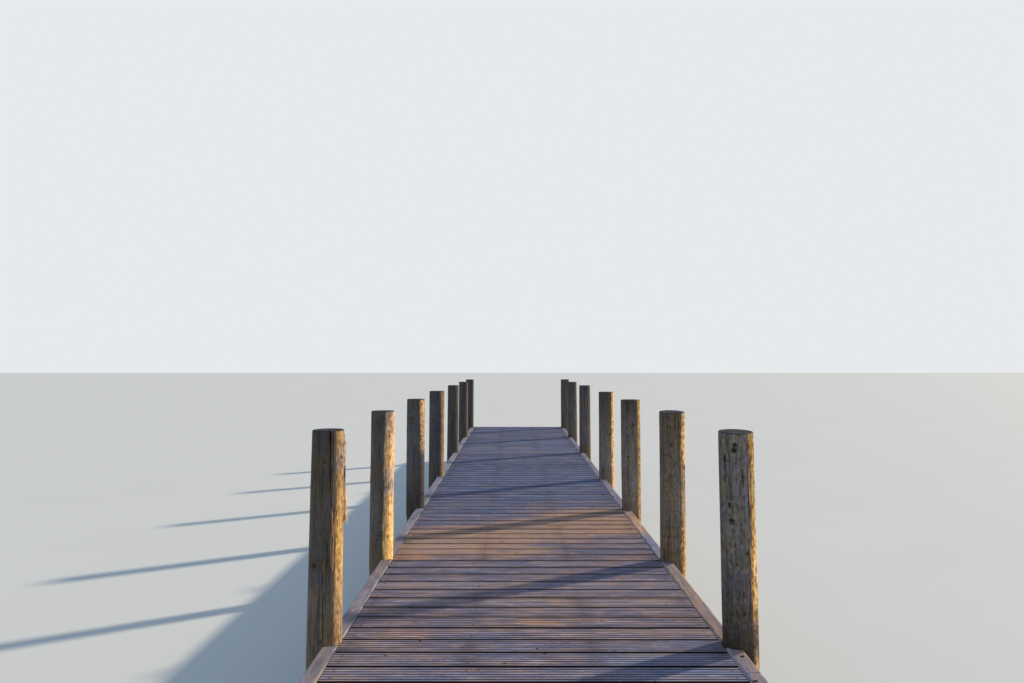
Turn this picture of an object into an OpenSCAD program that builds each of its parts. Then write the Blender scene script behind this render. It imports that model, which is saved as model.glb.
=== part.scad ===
// Timber jetty: a straight deck of ribbed boards between two rows of round
// piles. Millimetres, +Z up. The deck runs along Y, from the shore end at -Y
// to the lake end at +Y. The origin is under the middle of the deck, on the
// level where the piles meet the water.

/* [Bays] */
// Centre distance from pile pair 1 to pair 2
bay_1 = 1440; // [1200:10:2500]
// Centre distance from pile pair 2 to pair 3
bay_2 = 1680; // [1200:10:2500]
// Centre distance from pile pair 3 to pair 4
bay_3 = 1770; // [1200:10:2500]
// Centre distance from pile pair 4 to pair 5
bay_4 = 2330; // [1200:10:2500]
// Centre distance from pile pair 5 to pair 6
bay_5 = 2200; // [1200:10:2500]
// Centre distance from pile pair 6 to pair 7
bay_6 = 1860; // [1200:10:2500]
// Deck that reaches past the last pair, at the lake end
lake_overhang = 320; // [260:10:600]
// Boards in the whole deck, shore end to lake end
board_count = 82; // [81:1:86]

/* [Deck] */
// Height of the deck top above the water
deck_height = 680; // [560:10:900]
// Clear width of the deck, between the kerbs
clear_width = 1860; // [1700:10:2200]
// Width of one deck board, measured along the jetty
board_width = 145; // [140:1:150]
// Thickness of a deck board
board_thick = 32; // [28:1:40]
// Open gap between neighbouring boards
board_gap = 7; // [5:1:9]
// Open gap between the board ends and the kerb
board_end_gap = 6; // [3:1:10]
// Grip grooves along each board
groove_count = 5; // [3:1:6]
// Distance from groove to groove
groove_pitch = 24; // [20:1:24]
// Width of a groove at the top
groove_width = 7; // [4:1:10]
// Depth of a groove
groove_depth = 3; // [2:0.5:5]
// Bevel along the top edges of a board
board_bevel = 2.5; // [1:0.5:4]

/* [Kerb] */
// Width of the kerb, seen from above
kerb_width = 70; // [60:1:90]
// How far the kerb stands proud of the deck
kerb_lift = 12; // [6:1:30]
// Bevel along the top edges of the kerb
kerb_bevel = 5; // [2:1:12]
// Gap left round a pile where the kerb is scribed to it
scribe_gap = 3; // [2:1:5]
// Distance from a pile's centre to the blunt tip of a kerb end
kerb_tip = 40; // [36:1:60]
// Distance from pile pair 1 to the joint in the right kerb
kerb_joint = 317; // [250:1:500]

/* [Piles] */
// Heights of the pile tops above the deck, left row, shore to lake
pile_rise_left = [1038, 1032, 1030, 1034, 1036, 1032, 1034]; // [700:1:1300]
// Heights of the pile tops above the deck, right row
pile_rise_right = [1030, 1026, 1028, 1032, 1034, 1030, 1036]; // [700:1:1300]
// Pile diameters at deck level, left row
pile_dia_left = [166, 160, 160, 182, 174, 172, 174]; // [150:1:195]
// Pile diameters at deck level, right row
pile_dia_right = [168, 168, 173, 170, 175, 172, 176]; // [150:1:195]
// Growth of the diameter for each metre down the pile, left row
pile_taper_left = [15, 2, 2, 3, 5, 4, 5]; // [0:1:16]
// Growth of the diameter for each metre down the pile, right row
pile_taper_right = [3, 1, 4, 2, 4, 5, 4]; // [0:1:16]
// Outward lean of the foot for each metre of height, left row
pile_lean_left = [12, 8, 4, 5, 6, 4, 6]; // [0:1:20]
// Outward lean of the foot for each metre of height, right row
pile_lean_right = [13, 1, 6, 3, 5, 6, 4]; // [0:1:20]
// How far a log swells and narrows along its length
log_swell = 1.5; // [0:0.5:3]
// How much nearer the shore the right pile of each pair stands
pair_skew = [35, 65, 85, 210, 0, 0, 0]; // [0:5:220]
// Bevel worn round a pile top
top_bevel = 6; // [3:1:12]
// Direction of the drying check in each left pile, from the shore side
check_turn_left = [28, -60, 75, 10, -35, 50, 130]; // [-180:1:180]
// Direction of the drying check in each right pile, from the shore side
check_turn_right = [-75, 20, -30, 100, -10, -120, 35]; // [-180:1:180]
// Length of the drying checks, from the top down, left row
check_length_left = [330, 210, 420, 260, 500, 180, 300]; // [120:10:600]
// Length of the drying checks, from the top down, right row
check_length_right = [260, 380, 220, 450, 300, 240, 400]; // [120:10:600]
// Depth of a drying check at the top of the pile
check_depth = 42; // [20:1:60]
// Width of a drying check at the top of the pile
check_width = 6; // [3:1:9]

/* [Frame] */
// Thickness of a cross bearer
bearer_thick = 75; // [63:1:100]
// Depth of a cross bearer
bearer_depth = 200; // [150:5:250]
// Reach of the bearers to each side of the centre line
bearer_reach = 1125; // [1120:5:1400]
// Depth of the housing cut into a pile for each bearer
housing_depth = 12; // [8:1:16]
// Width of a joist
joist_width = 75; // [50:1:75]
// Depth of a joist
joist_depth = 150; // [125:5:200]
// Distance of the inner joists from the centre line
inner_joist_x = 295; // [250:5:350]
// Thickness of the fascia across the joist ends
fascia_thick = 45; // [38:1:60]

/* [Hidden] */
metre = 1000;
// Gap where two lengths of timber meet
joint_gap = 4;
// Overshoot of a cutting shape
cut = 1;
// A size past any pile, for the shapes that cut it
beyond_pile = 300;
// Slope of a groove's sides, as a distance
groove_slope = 1.2;
// Gap between the outer joists and the ends of the boards
joist_inset = 1.5;
// Rings of a log's outline, the length of one swell, and how the swells
// differ from pile to pile and from row to row, in degrees
log_rings = 12;
swell_period = 870;
swell_turn = 97;
swell_row = 40;
// Log below the level where the foot is sawn
below_foot = 60;
// The wedge of a drying check reaches this many depths out from its edge
check_mouth = 2;

board_pitch = board_width + board_gap;
deck_length = board_count * board_pitch - board_gap;
shore_end = -deck_length / 2;
lake_end = deck_length / 2;
board_length = clear_width - 2 * board_end_gap;
board_under = deck_height - board_thick;
bearer_top = board_under - joist_depth;
half_clear = clear_width / 2;
outer_joist_x = half_clear - board_end_gap - joist_inset - joist_width / 2;

bays = [bay_1, bay_2, bay_3, bay_4, bay_5, bay_6];
bay_count = len(bays);
pair_count = bay_count + 1;
function bays_after(i) = i > bay_count ? 0 : bays[i - 1] + bays_after(i + 1);
function pair_y(i) = lake_end - lake_overhang - bays_after(i);

// side is -1 for the left row and 1 for the right row
function of_row(side, i, left, right) = side < 0 ? left[i - 1] : right[i - 1];
function pile_dia(side, i) = of_row(side, i, pile_dia_left, pile_dia_right);
function pile_rise(side, i) = of_row(side, i, pile_rise_left, pile_rise_right);
function pile_taper(side, i) = of_row(side, i, pile_taper_left, pile_taper_right);
function pile_lean(side, i) = of_row(side, i, pile_lean_left, pile_lean_right);
function check_turn(side, i) = of_row(side, i, check_turn_left, check_turn_right);
function check_length(side, i) = of_row(side, i, check_length_left, check_length_right);
function pile_x(side, i) = side * (half_clear + pile_dia(side, i) / 2);
function pile_y(side, i) = pair_y(i) - side * pair_skew[i - 1] / 2;
function pair_turn(i) = atan2(pile_y(1, i) - pile_y(-1, i), pile_x(1, i) - pile_x(-1, i));
// Radius of a log at height z over the deck; it is exact at the deck, where
// the kerbs are scribed to it
function log_radius(side, i, z) =
    pile_dia(side, i) / 2 - pile_taper(side, i) * z / (2 * metre)
    + log_swell * sin(360 * z / swell_period) * cos(swell_turn * i + swell_row * side);
// Distance from a pile's centre line to the face of its bearer
function bearer_face(i) = min(pile_dia_left[i - 1], pile_dia_right[i - 1]) / 2 - housing_depth;
// Where the line through both piles of a pair crosses x, moved by d across it
function pair_line_y(i, x, d) =
    pile_y(-1, i) + (x - pile_x(-1, i)) * tan(pair_turn(i)) + d / cos(pair_turn(i));

$fn = 64;

// A round pile: it leans, tapers, swells a little, is bevelled on top and
// sawn level at the foot. Two flat housings seat the bearers and carry them
// on their sills, and a drying check runs down from the top.
module pile(side, i) {
    color([0.46, 0.36, 0.24])
    difference() {
        lean_pile(side, i)
            pile_log(side, i);
        lean_pile(side, i)
            drying_check(side, i);
        pile_housings(i);
        translate([-beyond_pile, -beyond_pile, -beyond_pile])
            cube([2 * beyond_pile, 2 * beyond_pile, beyond_pile]);
    }
}

// Leans what stands on the deck's level, so that its foot goes outward
module lean_pile(side, i) {
    translate([0, 0, deck_height])
        rotate([0, -side * atan(pile_lean(side, i) / metre), 0])
            children();
}

// The log alone, with the deck's level at z = 0
module pile_log(side, i) {
    foot = -deck_height - below_foot;
    rise = pile_rise(side, i);
    step = (rise - top_bevel - foot) / log_rings;
    rings = [for (k = [0 : log_rings]) foot + k * step];
    rotate_extrude()
        polygon(concat(
            [[0, foot]],
            [for (z = rings) [log_radius(side, i, z), z]],
            [[log_radius(side, i, rise) - top_bevel, rise], [0, rise]]
        ));
}

// A wedge that leaves the log at the check's lower end; its thin edge is
// deepest at the top of the pile
module drying_check(side, i) {
    r = log_radius(side, i, pile_rise(side, i));
    slope = atan(check_depth / check_length(side, i));
    rotate([0, 0, check_turn(side, i) - 90])
        translate([r - check_depth, 0, pile_rise(side, i)])
            rotate([0, -slope, 0])
                linear_extrude(3 * check_length(side, i), center = true)
                    polygon([
                        [0, 0],
                        [check_mouth * check_depth, -check_mouth * check_width / 2],
                        [check_mouth * check_depth, check_mouth * check_width / 2]
                    ]);
}

// The two housings, one on the shore side and one on the lake side
module pile_housings(i) {
    rotate([0, 0, pair_turn(i)])
        for (s = [-1, 1])
            translate([0, s * (bearer_face(i) + beyond_pile / 2), bearer_top - bearer_depth / 2])
                cube([beyond_pile, beyond_pile, bearer_depth], center = true);
}

module place_pile(side, i) {
    translate([pile_x(side, i), pile_y(side, i), 0])
        pile(side, i);
}

// The twin bearers of one pair, set into the housings of both piles
module cross_bearers(i) {
    color([0.40, 0.34, 0.27])
    translate([0, pair_line_y(i, 0, 0), bearer_top - bearer_depth / 2])
        rotate([0, 0, pair_turn(i)])
            for (s = [-1, 1])
                translate([0, s * (bearer_face(i) + bearer_thick / 2), 0])
                    cube([2 * bearer_reach, bearer_thick, bearer_depth], center = true);
}

// Joist lengths meet end to end over the middle of a bearer
module joist(x, breaks) {
    stops = [
        shore_end + fascia_thick,
        for (b = breaks) pair_line_y(b, x, bearer_face(b) + bearer_thick / 2),
        lake_end - fascia_thick
    ];
    color([0.38, 0.32, 0.26])
    for (k = [0 : len(stops) - 2]) {
        y0 = stops[k] + (k > 0 ? joint_gap / 2 : 0);
        y1 = stops[k + 1] - (k < len(stops) - 2 ? joint_gap / 2 : 0);
        translate([x - joist_width / 2, y0, bearer_top])
            cube([joist_width, y1 - y0, joist_depth]);
    }
}

// Top outline of one groove, its middle at y = c
function groove(c) = [
    [c - groove_width / 2, board_thick],
    [c - groove_width / 2 + groove_slope, board_thick - groove_depth],
    [c + groove_width / 2 - groove_slope, board_thick - groove_depth],
    [c + groove_width / 2, board_thick]
];

// One ribbed deck board, its lower shore-side edge on y = 0
module deck_board() {
    first = (board_width - (groove_count - 1) * groove_pitch) / 2;
    translate([-board_length / 2, 0, board_under])
        rotate([90, 0, 90])
            linear_extrude(board_length)
                polygon([
                    [0, 0],
                    [0, board_thick - board_bevel],
                    [board_bevel, board_thick],
                    for (g = [0 : groove_count - 1])
                        each groove(first + g * groove_pitch),
                    [board_width - board_bevel, board_thick],
                    [board_width, board_thick - board_bevel],
                    [board_width, 0]
                ]);
}

// The boards whose middle lies between two places along the deck
module deck_boards(y_from, y_to) {
    color([0.55, 0.49, 0.43])
    for (k = [0 : board_count - 1]) {
        y = shore_end + k * board_pitch;
        if (y + board_width / 2 >= y_from && y + board_width / 2 < y_to)
            translate([0, y, 0])
                deck_board();
    }
}

// Section of the kerb, standing on y = 0, its top edges bevelled
module kerb_section() {
    half = kerb_width / 2;
    top = deck_height + kerb_lift - bearer_top;
    polygon([
        [-half, 0],
        [half, 0],
        [half, top - kerb_bevel],
        [half - kerb_bevel, top],
        [kerb_bevel - half, top],
        [-half, top - kerb_bevel]
    ]);
}

// One kerb length between two places; it is scribed round the piles near it
module kerb_length(side, y_from, y_to) {
    difference() {
        translate([side * (half_clear + kerb_width / 2), y_to, bearer_top])
            rotate([90, 0, 0])
                linear_extrude(y_to - y_from)
                    kerb_section();
        for (i = [1 : pair_count])
            if (min(abs(pile_y(side, i) - y_from), abs(pile_y(side, i) - y_to)) < beyond_pile / 2)
                translate([pile_x(side, i), pile_y(side, i), bearer_top - cut])
                    cylinder(r = pile_dia(side, i) / 2 + scribe_gap, h = 2 * joist_depth);
    }
}

module kerb(side) {
    color([0.60, 0.53, 0.45]) {
        kerb_at_shore(side);
        for (i = [1 : bay_count])
            kerb_length(side, pile_y(side, i) + kerb_tip, pile_y(side, i + 1) - kerb_tip);
        kerb_length(side, pile_y(side, pair_count) + kerb_tip, lake_end);
    }
}

// Left of the deck the first kerb is one length, right of it there are two
module kerb_at_shore(side) {
    tip = pile_y(side, 1) - kerb_tip;
    if (side < 0) {
        kerb_length(side, shore_end, tip);
    } else {
        joint = pile_y(side, 1) - kerb_joint;
        kerb_length(side, shore_end, joint - joint_gap / 2);
        kerb_length(side, joint + joint_gap / 2, tip);
    }
}

// The board across the joist ends, under the last deck board
module fascia(y_from) {
    color([0.42, 0.36, 0.29])
    translate([-half_clear, y_from, bearer_top])
        cube([clear_width, fascia_thick, joist_depth]);
}

place_pile(-1, 1);  // pile_left_1
place_pile(-1, 2);  // pile_left_2
place_pile(-1, 3);  // pile_left_3
place_pile(-1, 4);  // pile_left_4
place_pile(-1, 5);  // pile_left_5
place_pile(-1, 6);  // pile_left_6
place_pile(-1, 7);  // pile_left_7
place_pile(1, 1);  // pile_right_1
place_pile(1, 2);  // pile_right_2
place_pile(1, 3);  // pile_right_3
place_pile(1, 4);  // pile_right_4
place_pile(1, 5);  // pile_right_5
place_pile(1, 6);  // pile_right_6
place_pile(1, 7);  // pile_right_7
cross_bearers(1);  // cross_bearers_1
cross_bearers(2);  // cross_bearers_2
cross_bearers(3);  // cross_bearers_3
cross_bearers(4);  // cross_bearers_4
cross_bearers(5);  // cross_bearers_5
cross_bearers(6);  // cross_bearers_6
cross_bearers(7);  // cross_bearers_7
joist(-outer_joist_x, [3, 6]);  // joist_outer_left
joist(-inner_joist_x, [2, 5]);  // joist_inner_left
joist(inner_joist_x, [3, 6]);  // joist_inner_right
joist(outer_joist_x, [2, 5]);  // joist_outer_right
deck_boards(shore_end, pair_y(1));  // deck_boards_shore
deck_boards(pair_y(1), pair_y(2));  // deck_boards_bay_1
deck_boards(pair_y(2), pair_y(3));  // deck_boards_bay_2
deck_boards(pair_y(3), pair_y(4));  // deck_boards_bay_3
deck_boards(pair_y(4), pair_y(5));  // deck_boards_bay_4
deck_boards(pair_y(5), pair_y(6));  // deck_boards_bay_5
deck_boards(pair_y(6), lake_end);  // deck_boards_bay_6
kerb(-1);  // kerb_left
kerb(1);  // kerb_right
fascia(shore_end);  // fascia_shore
fascia(lake_end - fascia_thick);  // fascia_lake
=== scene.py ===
# %% [markdown]
# # Dressing a timber jetty
# The jetty is a straight deck of ribbed boards between two rows of round
# piles. Its solids come ready, with their real sizes and places. This lesson
# gives each of them its surface: logs with checks and knots, boards whose
# ribs are worn down, sawn timbers with soft edges, and the steel that holds
# them together. Everything is in metres: X goes to the right, Y along the deck
# and away from the camera, and Z up.

# %% [markdown]
# ## Load the solids
# The solids are the fixed frame of the scene. Each new piece stands for one
# of them, so the box round all of them is noted first, and every piece is kept inside it.

import itertools
import math

import bpy
import numpy as np
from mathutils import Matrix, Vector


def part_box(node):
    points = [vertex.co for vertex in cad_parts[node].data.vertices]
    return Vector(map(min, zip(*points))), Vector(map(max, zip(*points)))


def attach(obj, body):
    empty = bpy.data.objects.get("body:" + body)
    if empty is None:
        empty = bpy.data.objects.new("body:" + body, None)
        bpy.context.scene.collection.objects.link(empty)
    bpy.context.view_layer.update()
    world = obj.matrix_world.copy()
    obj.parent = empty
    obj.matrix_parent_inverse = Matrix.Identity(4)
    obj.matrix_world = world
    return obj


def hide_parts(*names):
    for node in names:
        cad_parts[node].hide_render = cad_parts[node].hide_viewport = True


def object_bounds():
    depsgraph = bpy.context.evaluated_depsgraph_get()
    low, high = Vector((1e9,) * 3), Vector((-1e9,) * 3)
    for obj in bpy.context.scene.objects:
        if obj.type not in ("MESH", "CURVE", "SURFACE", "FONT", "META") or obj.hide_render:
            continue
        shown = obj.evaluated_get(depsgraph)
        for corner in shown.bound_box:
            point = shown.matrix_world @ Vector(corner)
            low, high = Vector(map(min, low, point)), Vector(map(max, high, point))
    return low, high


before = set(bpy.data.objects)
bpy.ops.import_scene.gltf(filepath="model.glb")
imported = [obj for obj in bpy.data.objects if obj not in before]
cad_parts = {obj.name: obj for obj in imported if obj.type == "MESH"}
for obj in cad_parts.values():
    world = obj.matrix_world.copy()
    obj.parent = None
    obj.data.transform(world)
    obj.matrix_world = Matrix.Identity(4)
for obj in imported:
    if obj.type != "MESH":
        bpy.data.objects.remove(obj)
cad_low, cad_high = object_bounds()
print("solids:", len(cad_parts), "box:", tuple(cad_low), tuple(cad_high))

# %% [markdown]
# ## Read the places off the solids
# Nothing is placed by eye. The level of the deck, the lines of the kerbs and
# the axis of each log are read from the corners of the solids, so that a new
# piece still fits if the jetty is built again with other sizes.

# %% Levels of the deck and its timbers
SIDES = {"left": -1, "right": 1}
PAIRS = range(1, 8)


def corners(node):
    """All corners of a solid's mesh, one row of x, y, z each."""
    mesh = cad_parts[node].data
    flat = np.empty(len(mesh.vertices) * 3, np.float32)
    mesh.vertices.foreach_get("co", flat)
    return flat.reshape(-1, 3).astype(float)


low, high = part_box("deck_boards_bay_1")
deck_top, board_thick = high.z, high.z - low.z
bearer_under, bearer_top = [corner.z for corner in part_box("cross_bearers_1")]
low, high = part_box("kerb_left")
kerb_under, kerb_top = low.z, high.z
kerb_inner, kerb_width = -high.x, high.x - low.x
near_end, far_end = low.y, high.y
print(f"deck {deck_top:.3f} m up, kerbs {kerb_width:.3f} m wide")

# %% The axis of each log
top_bevel = 0.006
foot_slice, top_slice = 0.0005, 0.0023


def middle(points):
    """Middle and half size of the box round some points."""
    low, high = points.min(axis=0), points.max(axis=0)
    return (low + high) / 2, (high - low) / 2


def measure_log(side, pair):
    """Foot, top and radii of a log, read from its sawn foot and its top face."""
    points = corners(f"pile_{side}_{pair}")
    height = points[:, 2].max()
    foot, foot_reach = middle(points[points[:, 2] < foot_slice])
    top, top_reach = middle(points[points[:, 2] > height - top_slice])
    return {
        "key": (side, pair), "side": SIDES[side], "height": height,
        "foot": foot, "lean": (top - foot) / height,
        "foot_radius": foot_reach[0], "top_radius": top_reach[0] + top_bevel,
    }


def axis_at(log, z):
    """Where a log's axis is at a height, as x and y."""
    return log["foot"][0] + log["lean"][0] * z, log["foot"][1] + log["lean"][1] * z


def radius_at(log, z):
    """A log's radius at a height, without its swellings."""
    share = z / log["height"]
    return log["foot_radius"] * (1 - share) + log["top_radius"] * share


logs = {(side, pair): measure_log(side, pair) for side in SIDES for pair in PAIRS}
for key, log in logs.items():
    log["x"], log["y"] = axis_at(log, deck_top)
    log["radius"] = radius_at(log, deck_top)
    print(key, "x %.3f y %.3f radius %.4f" % (log["x"], log["y"], log["radius"]))

# %% How each pair is turned, and where its bearers stand
pairs = {}
for pair in PAIRS:
    left, right = logs["left", pair], logs["right", pair]
    turn = math.atan2(right["y"] - left["y"], right["x"] - left["x"])
    along = np.array([math.cos(turn), math.sin(turn), 0.0])
    normal = np.array([-math.sin(turn), math.cos(turn), 0.0])
    centre, _ = middle(corners(f"cross_bearers_{pair}"))
    offset = corners(f"cross_bearers_{pair}") - centre
    across = np.abs(offset[:, 1] * normal[1] + offset[:, 0] * normal[0])
    pairs[pair] = {"along": along, "normal": normal, "centre": centre, "inner": across.min(),
                   "outer": across.max(), "reach": np.abs(offset @ along).max()}
    print(f"pair {pair}: turned {math.degrees(turn):.2f} degrees,",
          f"bearers from {across.min():.4f} to {across.max():.4f} m off its line")

# %% [markdown]
# ## Camera
# The camera stands above the deck, a little left of its middle. Its height and
# its lens follow from the lines of the kerbs, which meet at the horizon: that
# lies a little under the middle of the picture, so the camera looks up by two
# degrees. The lens is long enough to show the deck from the third board before
# the first pair of piles.

# %% Camera
eye_height, eye_before_first_pair, eye_x = 1.362, 3.40, -0.086
picture_wide, focal_pixels, sensor_wide = 1024, 688, 36
horizon_below_middle, meeting_right_of_middle = 22.5, 1.3


def add_object(name, data):
    """Puts a new object into the scene."""
    added = bpy.data.objects.new(name, data)
    bpy.context.scene.collection.objects.link(added)
    return added


camera_data = bpy.data.cameras.new("camera")
camera = add_object("camera", camera_data)
bpy.context.scene.camera = camera
camera_data.sensor_width = sensor_wide
camera_data.lens = sensor_wide * focal_pixels / picture_wide
first_pair_y = (logs["left", 1]["y"] + logs["right", 1]["y"]) / 2
camera.location = (eye_x, first_pair_y - eye_before_first_pair, deck_top + eye_height)
look_up = math.atan(horizon_below_middle / focal_pixels)
look_left = math.atan(meeting_right_of_middle / focal_pixels)
camera.rotation_euler = (math.radians(90) + look_up, 0, look_left)
print(f"lens {camera_data.lens:.2f} mm, looking up {math.degrees(look_up):.2f} degrees")

# %% [markdown]
# ## Floor and light
# The jetty stands on a plain pale floor. The light is plain too: an even sky,
# and one soft low lamp from the right and beyond, which brushes over the ribs
# and lights the right side of each log. The sky looks almost white to the
# camera only, which adds no light.

# %% Floor
floor_reach = 150


def new_mesh(name, points, faces):
    """A mesh of points and faces."""
    mesh = bpy.data.meshes.new(name)
    mesh.from_pydata(points, [], faces)
    return mesh


square = [(floor_reach * x, floor_reach * y, 0) for x, y in ((-1, -1), (1, -1), (1, 1), (-1, 1))]
floor = add_object("floor", new_mesh("floor", square, [(0, 1, 2, 3)]))
print("floor:", 2 * floor_reach, "m wide")

# %% Lamp and sky
key_from, key_height, key_wide = math.radians(61), math.radians(24), math.radians(2.5)
key = bpy.data.lights.new("low_soft_lamp", "SUN")
key.energy = 4.5
key.angle = key_wide
key.color = (1.0, 0.85, 0.63)
key_lamp = add_object("low_soft_lamp", key)
key_lamp.rotation_euler = (math.radians(90) - key_height, 0, -key_from + math.pi)

sky = bpy.data.worlds.new("sky")
sky.use_nodes = True
bpy.context.scene.world = sky
bpy.context.scene.view_settings.view_transform = "Standard"
print(f"lamp {math.degrees(key_from):.0f} degrees round, {math.degrees(key_height):.0f} degrees up")

# %% [markdown]
# ## Noise in numbers
# Weathered wood is uneven in an even-handed way: long swells, small flutes,
# worn spots. Smooth noise gives all of them. It is worked out for a whole mesh
# at once, from numbers that depend only on the place, so that each run makes
# the same jetty.

# %% Smooth noise for whole meshes
CELL_PRIMES, SEED_PRIME = (73856093, 19349663, 83492791), 2654435761
MIX_FACTOR, LAST_BITS = 0x45D9F3B, 0xFFFFFFFF


def shuffle(cells, seed):
    """A steady number from 0 to 1 for each whole-number cell."""
    mixed = (np.bitwise_xor.reduce(cells * CELL_PRIMES, axis=1) ^ seed * SEED_PRIME) & LAST_BITS
    for _ in range(2):
        mixed = ((mixed ^ mixed >> 16) * MIX_FACTOR) & LAST_BITS
    return (mixed ^ mixed >> 16) / LAST_BITS


def noise(points, size, seed=0):
    """Smooth noise from -1 to 1; its lumps are size across, one number or one per axis."""
    scaled = points / np.asarray(size, float)
    cells = np.floor(scaled).astype(np.int64)
    part = scaled - cells
    part = part * part * (3 - 2 * part)
    total = np.zeros(len(points))
    for corner in itertools.product((0, 1), repeat=3):
        weight = np.where(corner, part, 1 - part).prod(axis=1)
        total += weight * shuffle(cells + np.array(corner), seed)
    return 2 * total - 1


def soft_step(value, low, high):
    """0 below low, 1 above high, and a smooth rise between them."""
    share = np.clip((value - low) / (high - low), 0, 1)
    return share * share * (3 - 2 * share)


def heights_only(z, x=0.0):
    """Places for noise that changes with the height alone."""
    return np.stack([z, 0 * z + x, 0 * z], axis=1)


def read_off(table, places):
    """Each column of a table after its first, read off at places along that first one."""
    first, *columns = zip(*table)
    return [np.interp(places, first, column) for column in columns]


# %% [markdown]
# ## Parts and pieces
# A part is a bundle of points, faces and marks. A mark is a number or a
# vector that each point carries into the material, such as how deep it lies in
# a crack, or where it is along the grain. Parts are joined into one piece, and
# a piece takes the place of its solid.

# %% Parts, and how they become pieces
def tube_faces(rows, columns):
    """Faces of a tube of rows times columns points; the columns run anticlockwise."""
    index = np.arange(rows * columns).reshape(rows, columns)
    onward = np.roll(index, -1, axis=1)
    quads = np.stack([index[:-1], onward[:-1], onward[1:], index[1:]], axis=-1)
    return quads.reshape(-1, 4).tolist()


def closed_tube(rows, columns):
    """Faces of a tube with a flat face on each end."""
    index = np.arange(rows * columns).reshape(rows, columns)
    return tube_faces(rows, columns) + [index[0][::-1].tolist(), index[-1].tolist()]


def join(parts):
    """Several parts as one; they all carry the same marks."""
    faces, start = [], 0
    for part in parts:
        faces += [[start + corner for corner in face] for face in part["faces"]]
        start += len(part["points"])
    marks = {name: np.concatenate([part["marks"][name] for part in parts])
             for name in parts[0]["marks"]}
    points = np.concatenate([part["points"] for part in parts])
    return {"points": points, "faces": faces, "marks": marks}


def set_mark(mesh, name, values):
    """Stores a mark on a mesh, a number or a vector for each point."""
    kind, field = ("FLOAT_VECTOR", "vector") if values.ndim == 2 else ("FLOAT", "value")
    mark = mesh.attributes.new(name, kind, "POINT")
    mark.data.foreach_set(field, values.astype(np.float32).ravel())


def make_piece(name, part, material, slot, *nodes, sharp_from=38):
    """Turns a part into a named piece that stands for some solids, inside the box of them all."""
    mesh = new_mesh(name, np.clip(part["points"], cad_low, cad_high).tolist(), part["faces"])
    mesh.materials.append(material)
    for mark, values in part["marks"].items():
        set_mark(mesh, mark, values)
    mesh.shade_smooth()
    mesh.set_sharp_from_angle(angle=math.radians(sharp_from))
    piece = add_object(name, mesh)
    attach(piece, "root")
    if nodes:
        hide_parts(*nodes)
    print(f"{name}: {len(mesh.vertices)} points, {len(mesh.polygons)} faces")

# %% [markdown]
# ## Wiring materials
# All finishes are drawn by nodes. A small helper places a node, sets it and
# wires it in one line, so that a material reads like a recipe. Effects that
# more than one finish needs become node groups with named inputs and outputs.

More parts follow.
